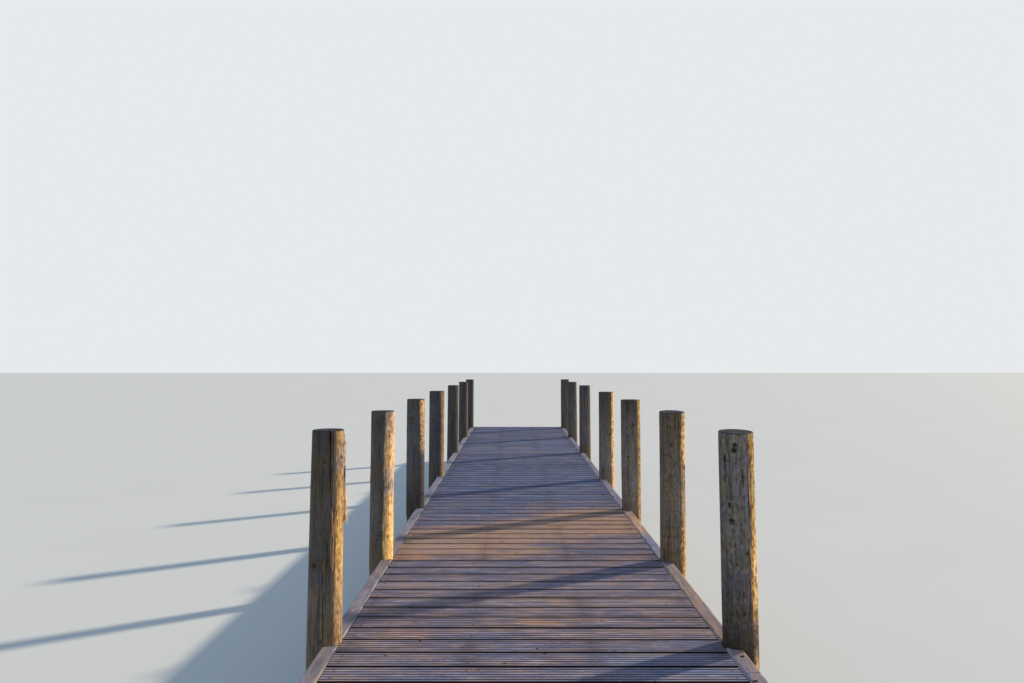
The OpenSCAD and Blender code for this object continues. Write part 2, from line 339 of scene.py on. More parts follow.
# %% A helper that wires nodes
class Wiring:
    """Places nodes in one tree; an input may be a number, a colour or an output."""

    def __init__(self, tree):
        self.tree = tree

    def give(self, socket, value):
        if isinstance(value, bpy.types.NodeSocket):
            self.tree.links.new(value, socket)
        else:
            socket.default_value = (*value, 1.0) if socket.type == "RGBA" else value

    def add(self, kind, inputs=(), **settings):
        node = self.tree.nodes.new(kind)
        for name, value in settings.items():
            setattr(node, name, value)
        for name, value in dict(inputs).items():
            self.give(node.inputs[name], value)
        return node

    def group(self, name, inputs):
        return self.add("ShaderNodeGroup", inputs, node_tree=bpy.data.node_groups[name]).outputs

    def mark(self, name, output="Fac"):
        return self.add("ShaderNodeAttribute", attribute_name=name).outputs[output]

    def place(self):
        """Where a point of the surface is, in metres."""
        return self.add("ShaderNodeTexCoord").outputs["Object"]

    # Numbers.
    def sum(self, operation, first, second=0.0):
        return self.add("ShaderNodeMath", {0: first, 1: second}, operation=operation).outputs[0]

    def plus(self, first, second):
        return self.sum("ADD", first, second)

    def minus(self, first, second):
        return self.sum("SUBTRACT", first, second)

    def times(self, first, second):
        return self.sum("MULTIPLY", first, second)

    def over(self, first, second):
        return self.sum("DIVIDE", first, second)

    def rest(self, share):
        return self.minus(1.0, share)

    def apart(self, first, second):
        return self.sum("ABSOLUTE", self.minus(first, second))

    def swing(self, noise, reach):
        """Noise from 0 to 1 becomes a swing to both sides of 0."""
        return self.times(self.minus(noise, 0.5), reach)

    def step(self, value, low, high, from_value=0.0, to_value=1.0):
        given = {"Value": value, "From Min": low, "From Max": high,
                 "To Min": from_value, "To Max": to_value}
        return self.add("ShaderNodeMapRange", given, interpolation_type="SMOOTHSTEP").outputs[0]

    # Places and directions.
    def vector(self, operation, first, second=(0.0, 0.0, 0.0)):
        return self.add("ShaderNodeVectorMath", {0: first, 1: second}, operation=operation).outputs

    def shift(self, place, offset):
        return self.vector("ADD", place, offset)[0]

    def scaled(self, place, sizes):
        return self.vector("MULTIPLY", place, sizes)[0]

    def length(self, place):
        return self.vector("LENGTH", place)["Value"]

    def combine(self, *parts):
        return self.add("ShaderNodeCombineXYZ", enumerate(parts)).outputs[0]

    def part(self, place, axis):
        return self.add("ShaderNodeSeparateXYZ", {0: place}).outputs[axis]

    # Colours.
    def blend(self, share, first, second, mode="MIX"):
        given = {0: share, 6: first, 7: second}
        return self.add("ShaderNodeMix", given, data_type="RGBA", blend_type=mode).outputs[2]

    def cover(self, under, coat, share, most):
        """Covers a colour with another one, by a share of the most that it may."""
        return self.blend(self.times(share, most), under, coat)

    def coat(self, under, coat, value, none, full, most=1.0):
        """Covers a colour as a value goes from none to full."""
        return self.blend(self.step(value, none, full, 0.0, most), under, coat)

    # Patterns.
    def noise(self, place, size, detail=2.0, roughness=0.5):
        given = {"Vector": place, "Scale": 1 / size, "Detail": detail, "Roughness": roughness}
        return self.add("ShaderNodeTexNoise", given).outputs[0]

    def grain(self, fibre, offset, long, thin, detail=3.0):
        """Stretched grain that starts from a place of its own."""
        given = {"Fibre": self.shift(fibre, offset), "Long": long, "Thin": thin, "Detail": detail}
        return self.group("Stretched grain", given)["Grain"]


KINDS = {"value": "NodeSocketFloat", "colour": "NodeSocketColor", "vector": "NodeSocketVector"}


def new_group(name, inputs, outputs):
    """An empty node group with its sockets; returns its wiring, input and output node."""
    tree = bpy.data.node_groups.new(name, "ShaderNodeTree")
    for socket, (kind, value) in inputs.items():
        made = tree.interface.new_socket(socket, in_out="INPUT", socket_type=KINDS[kind])
        made.default_value = (*value, 1.0) if kind == "colour" else value
    for socket, kind in outputs.items():
        tree.interface.new_socket(socket, in_out="OUTPUT", socket_type=KINDS[kind])
    wiring = Wiring(tree)
    return wiring, wiring.add("NodeGroupInput").outputs, wiring.add("NodeGroupOutput").inputs


# %% [markdown]
# ## Grain that runs with the timber
# Every point carries its place along and across the grain in the mark called
# fibre: first the way along the fibres, then two ways across them. Noise that
# is stretched along the first becomes streaks, on a log, a board or a beam
# alike, and on a sawn end the same noise shows as spots, as it should.

# %% Group: stretched grain
STILL = (0.0, 0.0, 0.0)
wiring, given, result = new_group(
    "Stretched grain",
    {"Fibre": ("vector", STILL), "Long": ("value", 0.3), "Thin": ("value", 0.004),
     "Detail": ("value", 3.0)},
    {"Grain": "value"})
per_long = wiring.over(1.0, given["Long"])
per_thin = wiring.over(1.0, given["Thin"])
stretched = wiring.scaled(given["Fibre"], wiring.combine(per_long, per_thin, per_thin))
raw_grain = wiring.noise(stretched, 1.0, detail=given["Detail"], roughness=0.6)
grain = wiring.add("ShaderNodeMapRange", {"Value": raw_grain, "From Min": 0.28, "From Max": 0.72})
wiring.give(result["Grain"], grain.outputs[0])
print("stretched grain:", len(wiring.tree.nodes), "nodes")

# %% Group: hair checks, the fine drying cracks that follow the fibres
wiring, given, result = new_group(
    "Hair checks",
    {"Fibre": ("vector", STILL), "Long": ("value", 0.3), "Thin": ("value", 0.02),
     "Width": ("value", 0.05), "Amount": ("value", 0.5)},
    {"Check": "value"})
course = wiring.grain(given["Fibre"], STILL, given["Long"], given["Thin"])
on_course = wiring.rest(wiring.step(wiring.apart(course, 0.5), 0.0, given["Width"]))
where = wiring.grain(given["Fibre"], (5.3, 2.1, 7.7), 0.25, 0.03)
least = wiring.rest(given["Amount"])
opened = wiring.step(where, least, wiring.plus(least, 0.15))
wiring.give(result["Check"], wiring.times(on_course, opened))
print("hair checks:", len(wiring.tree.nodes), "nodes")

# %% Group: growth rings and splits on a sawn end
wiring, given, result = new_group(
    "Growth rings", {"Fibre": ("vector", STILL), "Ring gap": ("value", 0.004)},
    {"Rings": "value", "Splits": "value"})
flat = wiring.scaled(given["Fibre"], (0.0, 1.0, 1.0))
from_pith = wiring.length(flat)
wobble = wiring.times(wiring.noise(flat, 0.05), 0.012)
ring_place = wiring.over(wiring.plus(from_pith, wobble), given["Ring gap"])
wiring.give(result["Rings"], wiring.step(wiring.sum("FRACT", ring_place), 0.35, 0.95))
toward = wiring.scaled(wiring.vector("NORMALIZE", flat)[0], (3.2, 3.2, 3.2))
split_place = wiring.shift(toward, wiring.combine(wiring.times(from_pith, 9.0)))
split_noise = wiring.noise(split_place, 0.35, detail=3.0)
wiring.give(result["Splits"], wiring.rest(wiring.step(wiring.apart(split_noise, 0.5), 0.004, 0.028)))
print("growth rings:", len(wiring.tree.nodes), "nodes")

# %% [markdown]
# ## Weathered timber
# One group paints all the wood. Rain and sun leave streaks of dark, middle
# and pale fibres, warm patches where the grey layer has worn off, and hair
# checks. Sawn ends get rings and splits. Each finish gives it its own colours
# and sizes, so logs, boards and beams differ while they stay one family.

# %% Group: weathered timber
wiring, given, result = new_group(
    "Weathered timber",
    {"Fibre": ("vector", STILL), "End": ("value", 0.0),
     "Long": ("value", 0.3), "Thin": ("value", 0.004),
     "Dark": ("colour", (0.05, 0.04, 0.03)),
     "Middle": ("colour", (0.2, 0.15, 0.1)),
     "Pale": ("colour", (0.4, 0.35, 0.3)),
     "Warm": ("colour", (0.4, 0.25, 0.12)),
     "Warm share": ("value", 0.5), "Pale share": ("value", 0.5),
     "Check amount": ("value", 0.4), "Ring gap": ("value", 0.004)},
    {"Colour": "colour", "Height": "value", "Streak": "value", "Patch": "value",
     "Check": "value"})


def grain_of(long_times, thin_times, offset, detail=3.0):
    """Stretched grain, so many times as long and as thin as the group's own."""
    long, thin = wiring.times(given["Long"], long_times), wiring.times(given["Thin"], thin_times)
    return wiring.grain(given["Fibre"], offset, long, thin, detail)


streak = grain_of(1.0, 1.0, STILL)
fine = grain_of(0.4, 0.35, (1.3, 4.1, 2.2))
patch = grain_of(0.8, 10.0, (7.1, 0.4, 3.9), 1.5)
warm_patch = grain_of(0.6, 8.0, (2.7, 9.2, 5.1), 1.0)
warm_patch = wiring.plus(warm_patch, wiring.swing(streak, 0.35))
check = wiring.group("Hair checks", {
    "Fibre": given["Fibre"], "Long": wiring.times(given["Long"], 1.3),
    "Thin": wiring.times(given["Thin"], 3.5), "Amount": given["Check amount"]})["Check"]
colour = wiring.blend(wiring.step(streak, 0.0, 0.62), given["Dark"], given["Middle"])
pale_place = wiring.times(wiring.step(fine, 0.4, 0.95), wiring.step(patch, 0.2, 0.85))
colour = wiring.cover(colour, given["Pale"], pale_place, given["Pale share"])
warm_place = wiring.times(wiring.step(warm_patch, 0.42, 0.85), given["Warm share"])
colour = wiring.blend(warm_place, colour, given["Warm"])
colour = wiring.cover(colour, (0.012, 0.009, 0.007), check, 0.85)
ends = wiring.group("Growth rings", {"Fibre": given["Fibre"], "Ring gap": given["Ring gap"]})
end_colour = wiring.blend(ends["Rings"], given["Middle"], given["Dark"])
end_colour = wiring.cover(end_colour, given["Pale"], fine, 0.5)
end_colour = wiring.cover(end_colour, (0.01, 0.008, 0.007), ends["Splits"], 0.9)
wiring.give(result["Colour"], wiring.blend(given["End"], colour, end_colour))
side_height = wiring.minus(wiring.plus(wiring.times(streak, 0.5), wiring.times(fine, 0.35)), check)
end_height = wiring.minus(wiring.times(ends["Rings"], 0.25), ends["Splits"])
height = wiring.add("ShaderNodeMix", {0: given["End"], 2: side_height, 3: end_height})
wiring.give(result["Height"], height.outputs[0])
for name, value in (("Streak", streak), ("Patch", patch), ("Check", check)):
    wiring.give(result[name], value)
print("weathered timber:", len(wiring.tree.nodes), "nodes")

# %% A new finish, with its shader
def new_finish(name, roughness, metallic=0.0):
    """A material with one shader; returns it, its wiring and the shader's inputs."""
    material = bpy.data.materials.new(name)
    material.use_nodes = True
    material.node_tree.nodes.clear()
    wiring = Wiring(material.node_tree)
    shader = wiring.add("ShaderNodeBsdfPrincipled", {"Roughness": roughness, "Metallic": metallic})
    output = wiring.add("ShaderNodeOutputMaterial")
    wiring.give(output.inputs["Surface"], shader.outputs[0])
    return material, wiring, shader.inputs


def end_finish(wiring, shader, colour, gloss, height, deep):
    """Gives the shader its colour, its gloss and a bump of a real depth in metres."""
    wiring.give(shader["Base Color"], colour)
    shader["Specular IOR Level"].default_value = gloss
    bump = wiring.add("ShaderNodeBump", {"Height": height, "Distance": deep, "Strength": 1.0})
    wiring.give(shader["Normal"], bump.outputs[0])
    print("finish of", len(wiring.tree.nodes), "nodes")

# %% [markdown]
# ## Finish of the logs
# The piles are round logs with the bark off, grey brown, streaked and mottled.
# The side that the low lamp lights is painted golden as sunlight, and where that
# side begins differs from log to log, so each point carries it as a mark; a band
# just before it is painted as half shade. Each log also has its own tone, carried
# as a tint. Knots are dark rings, the deep checks are painted black as shade,
# torn wood is orange brown, and the foot is dark and damp.

# %% Finish: pile log, the grey side
log_finish, wiring, shader = new_finish("pile_log", 0.8)
fibre = wiring.mark("fibre", "Vector")
end = wiring.mark("end")
wood = wiring.group("Weathered timber", {
    "Fibre": fibre, "End": end, "Long": 0.24, "Thin": 0.0070,
    "Dark": (0.036, 0.033, 0.030), "Middle": (0.086, 0.079, 0.071),
    "Pale": (0.165, 0.157, 0.148), "Warm": (0.125, 0.085, 0.054),
    "Warm share": 0.4, "Pale share": 0.6, "Check amount": 0.45, "Ring gap": 0.0035})
mottle_place = wiring.scaled(fibre, (34.0, 62.0, 62.0))
mottle = wiring.noise(mottle_place, 1.0, detail=4.0, roughness=0.62)
blotched = wiring.mark("blotched")
dark_spot = wiring.step(mottle, 0.48, 0.38, 0.0, 0.66)
pale_spot = wiring.step(mottle, 0.53, 0.64, 0.0, 0.60)
colour = wiring.cover(wood["Colour"], (0.036, 0.033, 0.030), dark_spot, blotched)
colour = wiring.cover(colour, (0.142, 0.132, 0.130), pale_spot, blotched)
hue = wiring.noise(wiring.shift(fibre, (5.5, 1.1, 2.2)), 0.10, detail=3.0)
hue_tint = wiring.blend(wiring.step(hue, 0.38, 0.62), (1.03, 1.00, 0.84), (1.02, 0.955, 1.10))
colour = wiring.blend(1.0, colour, hue_tint, "MULTIPLY")
green = wiring.noise(wiring.shift(fibre, (0.7, 3.1, 4.4)), 0.07, detail=4.0)
green = wiring.step(green, 0.55, 0.70, 0.0, 0.45)
colour = wiring.cover(colour, (0.078, 0.076, 0.046), green, blotched)
run = wiring.grain(fibre, (3.3, 8.8, 1.2), 0.5, 0.022)
colour = wiring.coat(colour, (0.026, 0.023, 0.020), run, 0.66, 0.92, 0.55)
# Stains, and one painted shadow band, darken or pale the wood.
stain_and_painted_shadow = wiring.times(wiring.mark("stain_and_painted_shadow"), wiring.step(wood["Streak"], -0.3, 0.9, 1.3, 0.6))
colour = wiring.coat(colour, (0.026, 0.023, 0.021), stain_and_painted_shadow, 0.0, 1.0, 0.8)
colour = wiring.coat(colour, (0.106, 0.112, 0.110), stain_and_painted_shadow, 0.0, -1.0, 0.7)
colour = wiring.scaled(colour, wiring.mark("tint", "Vector"))

# %% Finish: pile log, the painted sunlit side
# Painted sunlight: the side lit by the low lamp is painted gold, tan and bare grey. Marks set how much, how
# golden and how bright it is, and low values paint shadows on it.
height_up = wiring.part(wiring.place(), "Z")
sunny = wiring.plus(wiring.mark("sunny"), wiring.swing(wood["Streak"], 0.20))
painted_sunlight = wiring.mark("painted_sunlight")
# Painted half shade: a band just before the sunlit side, dark on logs with little painted sunlight and brown
# on the others.
painted_half_shade_colour = wiring.blend(painted_sunlight, (0.048, 0.041, 0.040), (0.150, 0.098, 0.064))
painted_half_shade = wiring.step(sunny, -0.50, 0.0, 0.0, 0.78)
colour = wiring.cover(colour, painted_half_shade_colour, painted_half_shade, wiring.mark("painted_half_shade"))
gold_streak = wiring.grain(fibre, (8.1, 1.7, 6.3), 0.085, 0.0085, 4.0)
streak_share = wiring.step(gold_streak, 0.18, 0.60)
pale_gold = wiring.blend(streak_share, (0.34, 0.170, 0.050), (0.72, 0.427, 0.132))
tan = wiring.blend(streak_share, (0.28, 0.180, 0.130), (0.57, 0.397, 0.295))
deep_gold = wiring.blend(streak_share, (0.17, 0.068, 0.017), (0.62, 0.299, 0.073))
bare_grey = wiring.blend(streak_share, (0.24, 0.185, 0.171), (0.47, 0.376, 0.341))
painted_sun_gold = wiring.mark("painted_sun_gold")
gold = wiring.coat(tan, pale_gold, painted_sun_gold, 0.0, 1.0)
gold = wiring.coat(gold, deep_gold, painted_sun_gold, 1.0, 2.0)
gold = wiring.coat(gold, bare_grey, painted_sun_gold, 0.0, -0.7)
flecked = wiring.step(blotched, 0.0, 0.55)
dark_fleck = wiring.step(mottle, 0.52, 0.42, 0.0, 0.85)
pale_fleck = wiring.step(mottle, 0.54, 0.63, 0.0, 0.75)
gold = wiring.cover(gold, (0.19, 0.091, 0.033), dark_fleck, flecked)
gold = wiring.cover(gold, (0.78, 0.546, 0.275), pale_fleck, flecked)
gold = wiring.coat(gold, (0.2, 0.103, 0.046), run, 0.66, 0.90, 0.50)
gold = wiring.cover(gold, (0.06, 0.031, 0.015), wood["Check"], 0.8)
gold = wiring.coat(gold, (0.1, 0.068, 0.055), wiring.mark("stain_and_painted_shadow"), 0.0, 1.0, 0.6)
painted_sun_level = wiring.mark("painted_sun_level")
gold = wiring.scaled(gold, wiring.combine(painted_sun_level, painted_sun_level, painted_sun_level))
painted_sunlit_share = wiring.times(wiring.step(sunny, -0.08, 0.22, 0.0, 0.96), painted_sunlight)
colour = wiring.cover(colour, gold, painted_sunlit_share, wiring.rest(end))

# %% Finish: pile log, knots, torn wood, top, foot and checks
from_knot = wiring.mark("from_knot", "Vector")
away = wiring.length(wiring.scaled(from_knot, (1.0, 1.0, 0.0)))
knot = wiring.over(away, wiring.part(from_knot, "Z"))
knot_waver = wiring.noise(wiring.shift(fibre, (1.9, 6.6, 3.5)), 0.013, detail=3.0)
knot = wiring.plus(knot, wiring.swing(knot_waver, 2.0))
near_knot = wiring.step(wiring.mark("knot"), 2.3, 1.8)
knot_fill = wiring.step(knot, 1.25, 0.7, 0.0, 0.68)
colour = wiring.cover(colour, (0.045, 0.034, 0.027), knot_fill, near_knot)
knot_rim = wiring.step(wiring.apart(knot, 0.95), 0.16, 0.04, 0.0, 0.65)
colour = wiring.cover(colour, (0.014, 0.011, 0.009), knot_rim, near_knot)
knot_heart = wiring.step(knot, 0.55, 0.25, 0.0, 0.92)
colour = wiring.cover(colour, (0.010, 0.008, 0.007), knot_heart, near_knot)
fresh = wiring.mark("fresh")
torn_colour = wiring.blend(streak_share, (0.3, 0.113, 0.039), (0.86, 0.464, 0.220))
torn_colour = wiring.coat(torn_colour, (0.9, 0.721, 0.506), fresh, 0.5, 1.0)
colour = wiring.coat(colour, torn_colour, fresh, 0.0, 0.45)
top_colour = wiring.blend(wood["Streak"], (0.009, 0.011, 0.020), (0.036, 0.042, 0.068))
colour = wiring.cover(colour, top_colour, end, 0.90)
tide = wiring.plus(height_up, wiring.times(wood["Patch"], 0.09))
damp = wiring.step(tide, 0.42, 0.12)
colour = wiring.cover(colour, (0.022, 0.024, 0.014), damp, 0.72)
# Painted shade: the deep checks and the hollow upper part of the torn sliver are painted near black.
colour = wiring.blend(wiring.mark("deep"), colour, (0.006, 0.005, 0.004))
wiring.give(shader["Roughness"], wiring.step(damp, 0.0, 1.0, 0.82, 0.55))
height = wiring.plus(wood["Height"], wiring.times(mottle, 0.6))
end_finish(wiring, shader, colour, 0.12, height, 0.0016)

# %% [markdown]
# ## Finish of the deck boards
# Ribbed softwood goes grey with a mauve cast. Every board has its own tone and
# its own cast, which drifts along it from blue grey to tan, and each rib is
# worn pale or dark over a hand's length. On the nearer boards some tan paints
# patches of sunlight and some pale blue paints shade, and the far boards are
# painted blue as shade. The grooves are darker, the faces down in the gaps are
# painted black as shade, and some boards are stained where a joist keeps them damp.

# %% Finish: deck board, wood and casts
JOISTS = (0.295, 0.885)
SCREW_ACROSS = (0.0365, 0.1085)
groove_pitch, first_groove = 0.024, 0.0245
board_finish, wiring, shader = new_finish("deck_board", 0.74)
fibre = wiring.mark("fibre", "Vector")
wood = wiring.group("Weathered timber", {
    "Fibre": fibre, "End": wiring.mark("end"), "Long": 0.36, "Thin": 0.0075,
    "Dark": (0.086, 0.075, 0.102), "Middle": (0.215, 0.184, 0.238),
    "Pale": (0.47, 0.420, 0.475), "Warm": (0.39, 0.262, 0.210),
    "Warm share": 0.6, "Pale share": 0.68, "Check amount": 0.3, "Ring gap": 0.0045})
drift = wiring.noise(wiring.scaled(fibre, (2.6, 9.0, 9.0)), 1.0, detail=3.0, roughness=0.55)
# The cast carries random drift, and painted light from the table of nearer boards: tan as painted sunlight,
# blue as painted shade, which the cast tint below deepens on the far boards.
cast = wiring.plus(wiring.mark("cast"), wiring.swing(drift, 2.0))
colour = wiring.coat(wood["Colour"], (0.134, 0.153, 0.242), cast, 0.42, 1.15, 0.86)
colour = wiring.coat(colour, (0.50, 0.335, 0.225), cast, 0.38, -0.20, 0.72)
tone = wiring.mark("tone")
colour = wiring.coat(colour, (0.066, 0.058, 0.070), tone, 0.5, 1.0, 0.50)
colour = wiring.coat(colour, (0.40, 0.345, 0.355), tone, 0.5, 0.0, 0.40)

# %% Finish: deck board, ribs, grooves and knots
ridge, across = wiring.mark("ridge"), wiring.mark("across")
rib_number = wiring.sum("FLOOR", wiring.over(wiring.minus(across, first_groove), groove_pitch))
rib_place = wiring.combine(wiring.over(wiring.part(fibre, "X"), 0.26), wiring.times(rib_number, 2.63),
                           wiring.times(tone, 47.0))
rib = wiring.noise(rib_place, 1.0, detail=3.0, roughness=0.6)
colour = wiring.coat(colour, (0.090, 0.082, 0.110), rib, 0.50, 0.28, 0.36)
colour = wiring.coat(colour, (0.52, 0.460, 0.485), rib, 0.50, 0.70, 0.44)
rib_hue = wiring.noise(wiring.shift(rib_place, (7.7, 0.4, 2.9)), 1.2, detail=2.0)
colour = wiring.coat(colour, (0.42, 0.290, 0.195), rib_hue, 0.54, 0.70, 0.38)
colour = wiring.coat(colour, (0.175, 0.182, 0.290), rib_hue, 0.46, 0.30, 0.45)
cast_tint = wiring.blend(wiring.step(cast, -0.3, 0.7), (1.22, 1.03, 0.90), (0.97, 0.99, 1.13))
cast_tint = wiring.coat(cast_tint, (0.78, 0.95, 1.26), cast, 0.8, 1.3)
colour = wiring.blend(1.0, colour, cast_tint, "MULTIPLY")
# Darker down the grooves and on the edge bevels.
colour = wiring.coat(colour, (0.030, 0.025, 0.033), ridge, 0.97, 0.30, 0.88)
fleck = wiring.grain(fibre, (6.1, 2.2, 8.3), 0.10, 0.0085)
fleck = wiring.times(wiring.step(fleck, 0.82, 1.0), wiring.step(ridge, 0.6, 1.0))
colour = wiring.cover(colour, (0.66, 0.60, 0.58), fleck, 0.8)
KNOT_SPACING = 0.19
cells = wiring.add("ShaderNodeTexVoronoi", {"Vector": fibre, "Scale": 1 / KNOT_SPACING},
                   voronoi_dimensions="2D").outputs
rare = wiring.step(wiring.add("ShaderNodeSeparateColor", {0: cells["Color"]}).outputs[0], 0.80, 0.84)
to_knot = wiring.times(cells["Distance"], KNOT_SPACING)
from_knot = wiring.plus(to_knot, wiring.swing(wood["Streak"], 0.004))
ring_of_knot = wiring.times(wiring.step(from_knot, 0.030, 0.008), rare)
colour = wiring.cover(colour, (0.25, 0.160, 0.125), ring_of_knot, 0.40)
heart_of_knot = wiring.times(wiring.step(from_knot, 0.0100, 0.0055), rare)
colour = wiring.cover(colour, (0.024, 0.018, 0.018), heart_of_knot, 0.85)

# %% Finish: deck board, stains, screws and edges
out_from_middle = wiring.sum("ABSOLUTE", wiring.part(wiring.place(), "X"))
to_joist = wiring.sum("MINIMUM", *[wiring.apart(out_from_middle, joist) for joist in JOISTS])
ragged = wiring.plus(to_joist, wiring.times(drift, 0.14))
stain = wiring.times(wiring.step(ragged, 0.17, 0.06), wiring.mark("stain"))
colour = wiring.cover(colour, (0.055, 0.052, 0.070), stain, 0.45)
to_screw = wiring.sum("MINIMUM", *[wiring.apart(across, screw) for screw in SCREW_ACROSS])
squares = wiring.plus(wiring.times(to_screw, to_screw), wiring.times(to_joist, to_joist))
screw_far = wiring.sum("SQRT", squares)
colour = wiring.coat(colour, (0.028, 0.019, 0.015), screw_far, 0.010, 0.004, 0.45)
# Painted shade: the faces down in the gaps, and the underside, are painted near black.
colour = wiring.blend(wiring.mark("side"), colour, (0.006, 0.005, 0.006))
end_finish(wiring, shader, colour, 0.12, wood["Height"], 0.0009)

# %% [markdown]
# ## Finish of the kerbs and of the frame
# The kerbs are sawn timbers, paler than the deck, scuffed and rubbed along
# their edges; the edges that face the lamp also carry a painted highlight, and
# the inner faces painted shade and painted light. The bearers, joists and fascias
# sit in the shade below the deck and stay dark, damp and brown, with the marks of
# the saw across them.

# %% Finish: kerb timber
kerb_finish, wiring, shader = new_finish("kerb_timber", 0.76)
fibre = wiring.mark("fibre", "Vector")
wood = wiring.group("Weathered timber", {
    "Fibre": fibre, "End": wiring.mark("end"), "Long": 0.45, "Thin": 0.0045,
    "Dark": (0.105, 0.088, 0.090), "Middle": (0.205, 0.174, 0.178),
    "Pale": (0.38, 0.335, 0.32), "Warm": (0.32, 0.215, 0.155),
    "Warm share": 0.6, "Pale share": 0.75, "Check amount": 0.42, "Ring gap": 0.005})
blotch = wiring.noise(wiring.shift(fibre, (9.1, 0.2, 3.3)), 0.16, detail=3.0)
colour = wiring.coat(wood["Colour"], (0.095, 0.082, 0.082), blotch, 0.5, 0.75, 0.5)
scuff = wiring.grain(fibre, (2.8, 7.3, 4.1), 0.07, 0.016)
colour = wiring.coat(colour, (0.52, 0.45, 0.43), scuff, 0.80, 1.0, 0.6)
colour = wiring.scaled(colour, wiring.mark("tint", "Vector"))
# Rubbed edges, with a painted highlight on those that face the lamp.
colour = wiring.cover(colour, (0.50, 0.42, 0.33), wiring.mark("worn"), 0.3)
# Painted shade low on the left kerb's inner face.
colour = wiring.cover(colour, (0.040, 0.034, 0.032), wiring.mark("shade"), 0.8)
# Painted shade: the counterbores are painted near black inside.
colour = wiring.blend(wiring.mark("sunk"), colour, (0.012, 0.010, 0.010))
# Darker on the lower part, below the level of the deck.
colour = wiring.cover(colour, (0.05, 0.042, 0.036), wiring.mark("side"), 0.7)
end_finish(wiring, shader, colour, 0.16, wood["Height"], 0.0009)

# %% Finish: frame timber
frame_finish, wiring, shader = new_finish("frame_timber", 0.8)
fibre = wiring.mark("fibre", "Vector")
wood = wiring.group("Weathered timber", {
    "Fibre": fibre, "End": wiring.mark("end"), "Long": 0.4, "Thin": 0.005,
    "Dark": (0.045, 0.034, 0.025), "Middle": (0.125, 0.094, 0.068),
    "Pale": (0.24, 0.20, 0.165), "Warm": (0.22, 0.125, 0.06),
    "Warm share": 0.5, "Pale share": 0.5, "Check amount": 0.4, "Ring gap": 0.006})
saw_mark = wiring.noise(wiring.scaled(fibre, (420.0, 14.0, 14.0)), 1.0, detail=1.0)
colour = wiring.coat(wood["Colour"], (0.05, 0.038, 0.028), saw_mark, 0.5, 0.8, 0.3)
colour = wiring.cover(colour, (0.30, 0.24, 0.18), wiring.mark("worn"), 0.35)
rough_sawn = wiring.plus(wood["Height"], wiring.times(saw_mark, 0.35))
end_finish(wiring, shader, colour, 0.3, rough_sawn, 0.0009)

# %% [markdown]
# ## Finish of the steel
# Bolts, washers and screws were galvanised once. The zinc has gone dull and
# spotted, and rust has started along the edges and runs in blotches.

# %% Finish: fixing steel
steel_finish, wiring, shader = new_finish("fixing_steel", 0.5, metallic=0.85)
zinc_spots = wiring.noise(wiring.place(), 0.004, detail=3.0)
rust_blotch = wiring.step(wiring.noise(wiring.place(), 0.018, detail=4.0, roughness=0.65), 0.44, 0.62)
colour = wiring.blend(zinc_spots, (0.16, 0.16, 0.165), (0.36, 0.36, 0.36))
colour = wiring.blend(rust_blotch, colour, (0.13, 0.048, 0.018))
wiring.give(shader["Roughness"], wiring.step(rust_blotch, 0.0, 1.0, 0.42, 0.88))
wiring.give(shader["Metallic"], wiring.step(rust_blotch, 0.0, 1.0, 0.9, 0.15))
end_finish(wiring, shader, colour, 0.5, rust_blotch, 0.0004)

# %% Finish: floor and sky
floor_finish, wiring, shader = new_finish("pale_floor", 0.9)
floor_tone = wiring.noise(wiring.place(), 2.5)
wiring.give(shader["Base Color"], wiring.blend(floor_tone, (0.62, 0.63, 0.63), (0.66, 0.67, 0.67)))
shader["Specular IOR Level"].default_value = 0.1
floor.data.materials.append(floor_finish)

wiring = Wiring(sky.node_tree)
rays = wiring.add("ShaderNodeLightPath").outputs
glossy = wiring.sum("MAXIMUM", rays["Is Glossy Ray"], rays["Is Transmission Ray"])
seen = wiring.sum("MAXIMUM", rays["Is Camera Ray"], glossy)
background = sky.node_tree.nodes["Background"].inputs
wiring.give(background["Color"], wiring.blend(seen, (0.71, 0.93, 1.20), (0.80, 0.82, 0.84)))
wiring.give(background["Strength"], wiring.step(seen, 0.0, 1.0, 0.46, 1.0))

# %% [markdown]
# ## Logs
# A log is a tube of rows and columns. Rows of points follow its height, and
# columns its bark line. The long drying checks are real grooves: the column
# nearest to a check is bent onto its course and pushed inward, and its two
# neighbours become the lips. Knots swell the surface and the grain runs round
# them, and two flats are cut where the bearers sit. Turns round a log are in
# degrees from its near side, towards the right.

# %% A long drying check
class Check:
    """A long drying crack; it wanders a little and drifts to one side on its way down."""

    def __init__(self, turn, high, low, drift, width, depth, open_top=False):
        self.turn, self.high, self.low, self.drift = turn, high, low, drift
        self.width, self.depth, self.open_top = width, depth, open_top

    def course(self, z, seed):
        """Its angle at each height."""
        share = np.clip((self.high - z) / (self.high - self.low), 0, 1)
        spot = heights_only(z, self.turn)
        wander = noise(spot, (0.11, 1, 1), seed) + 0.5 * noise(spot, (0.035, 1, 1), seed + 1)
        return np.radians(self.turn + self.drift * (share - 0.5) + 2.2 * wander)

    def openness(self, z):
        """0 where it is closed, up to 1 where it is widest."""
        share = np.clip((z - self.low) / (self.high - self.low), 0, 1)
        if self.open_top:
            return share ** 0.6
        return np.sin(np.pi * share) ** 0.6 * ((z > self.low) & (z < self.high))


# %% Rows and columns of a log
def log_rows(height, spacing):
    """Heights of the rows: even ones, pairs at the housings, and a worn top edge."""
    edge = 0.0006
    special = [bearer_under - edge, bearer_under + edge, bearer_top - edge, bearer_top + edge]
    top = [height - down for down in (0.012, 0.008, 0.0052, 0.003, 0.0014, 0.0005, 0.0)]
    even = np.arange(0, height - 0.015, spacing)
    even = even[[all(abs(z - s) > 0.4 * spacing for s in special) for z in even]]
    return np.array(sorted([*even, *special, *top]))


def wrapped(angle):
    """The same angle from minus half a turn to half a turn."""
    return (angle + np.pi) % (2 * np.pi) - np.pi


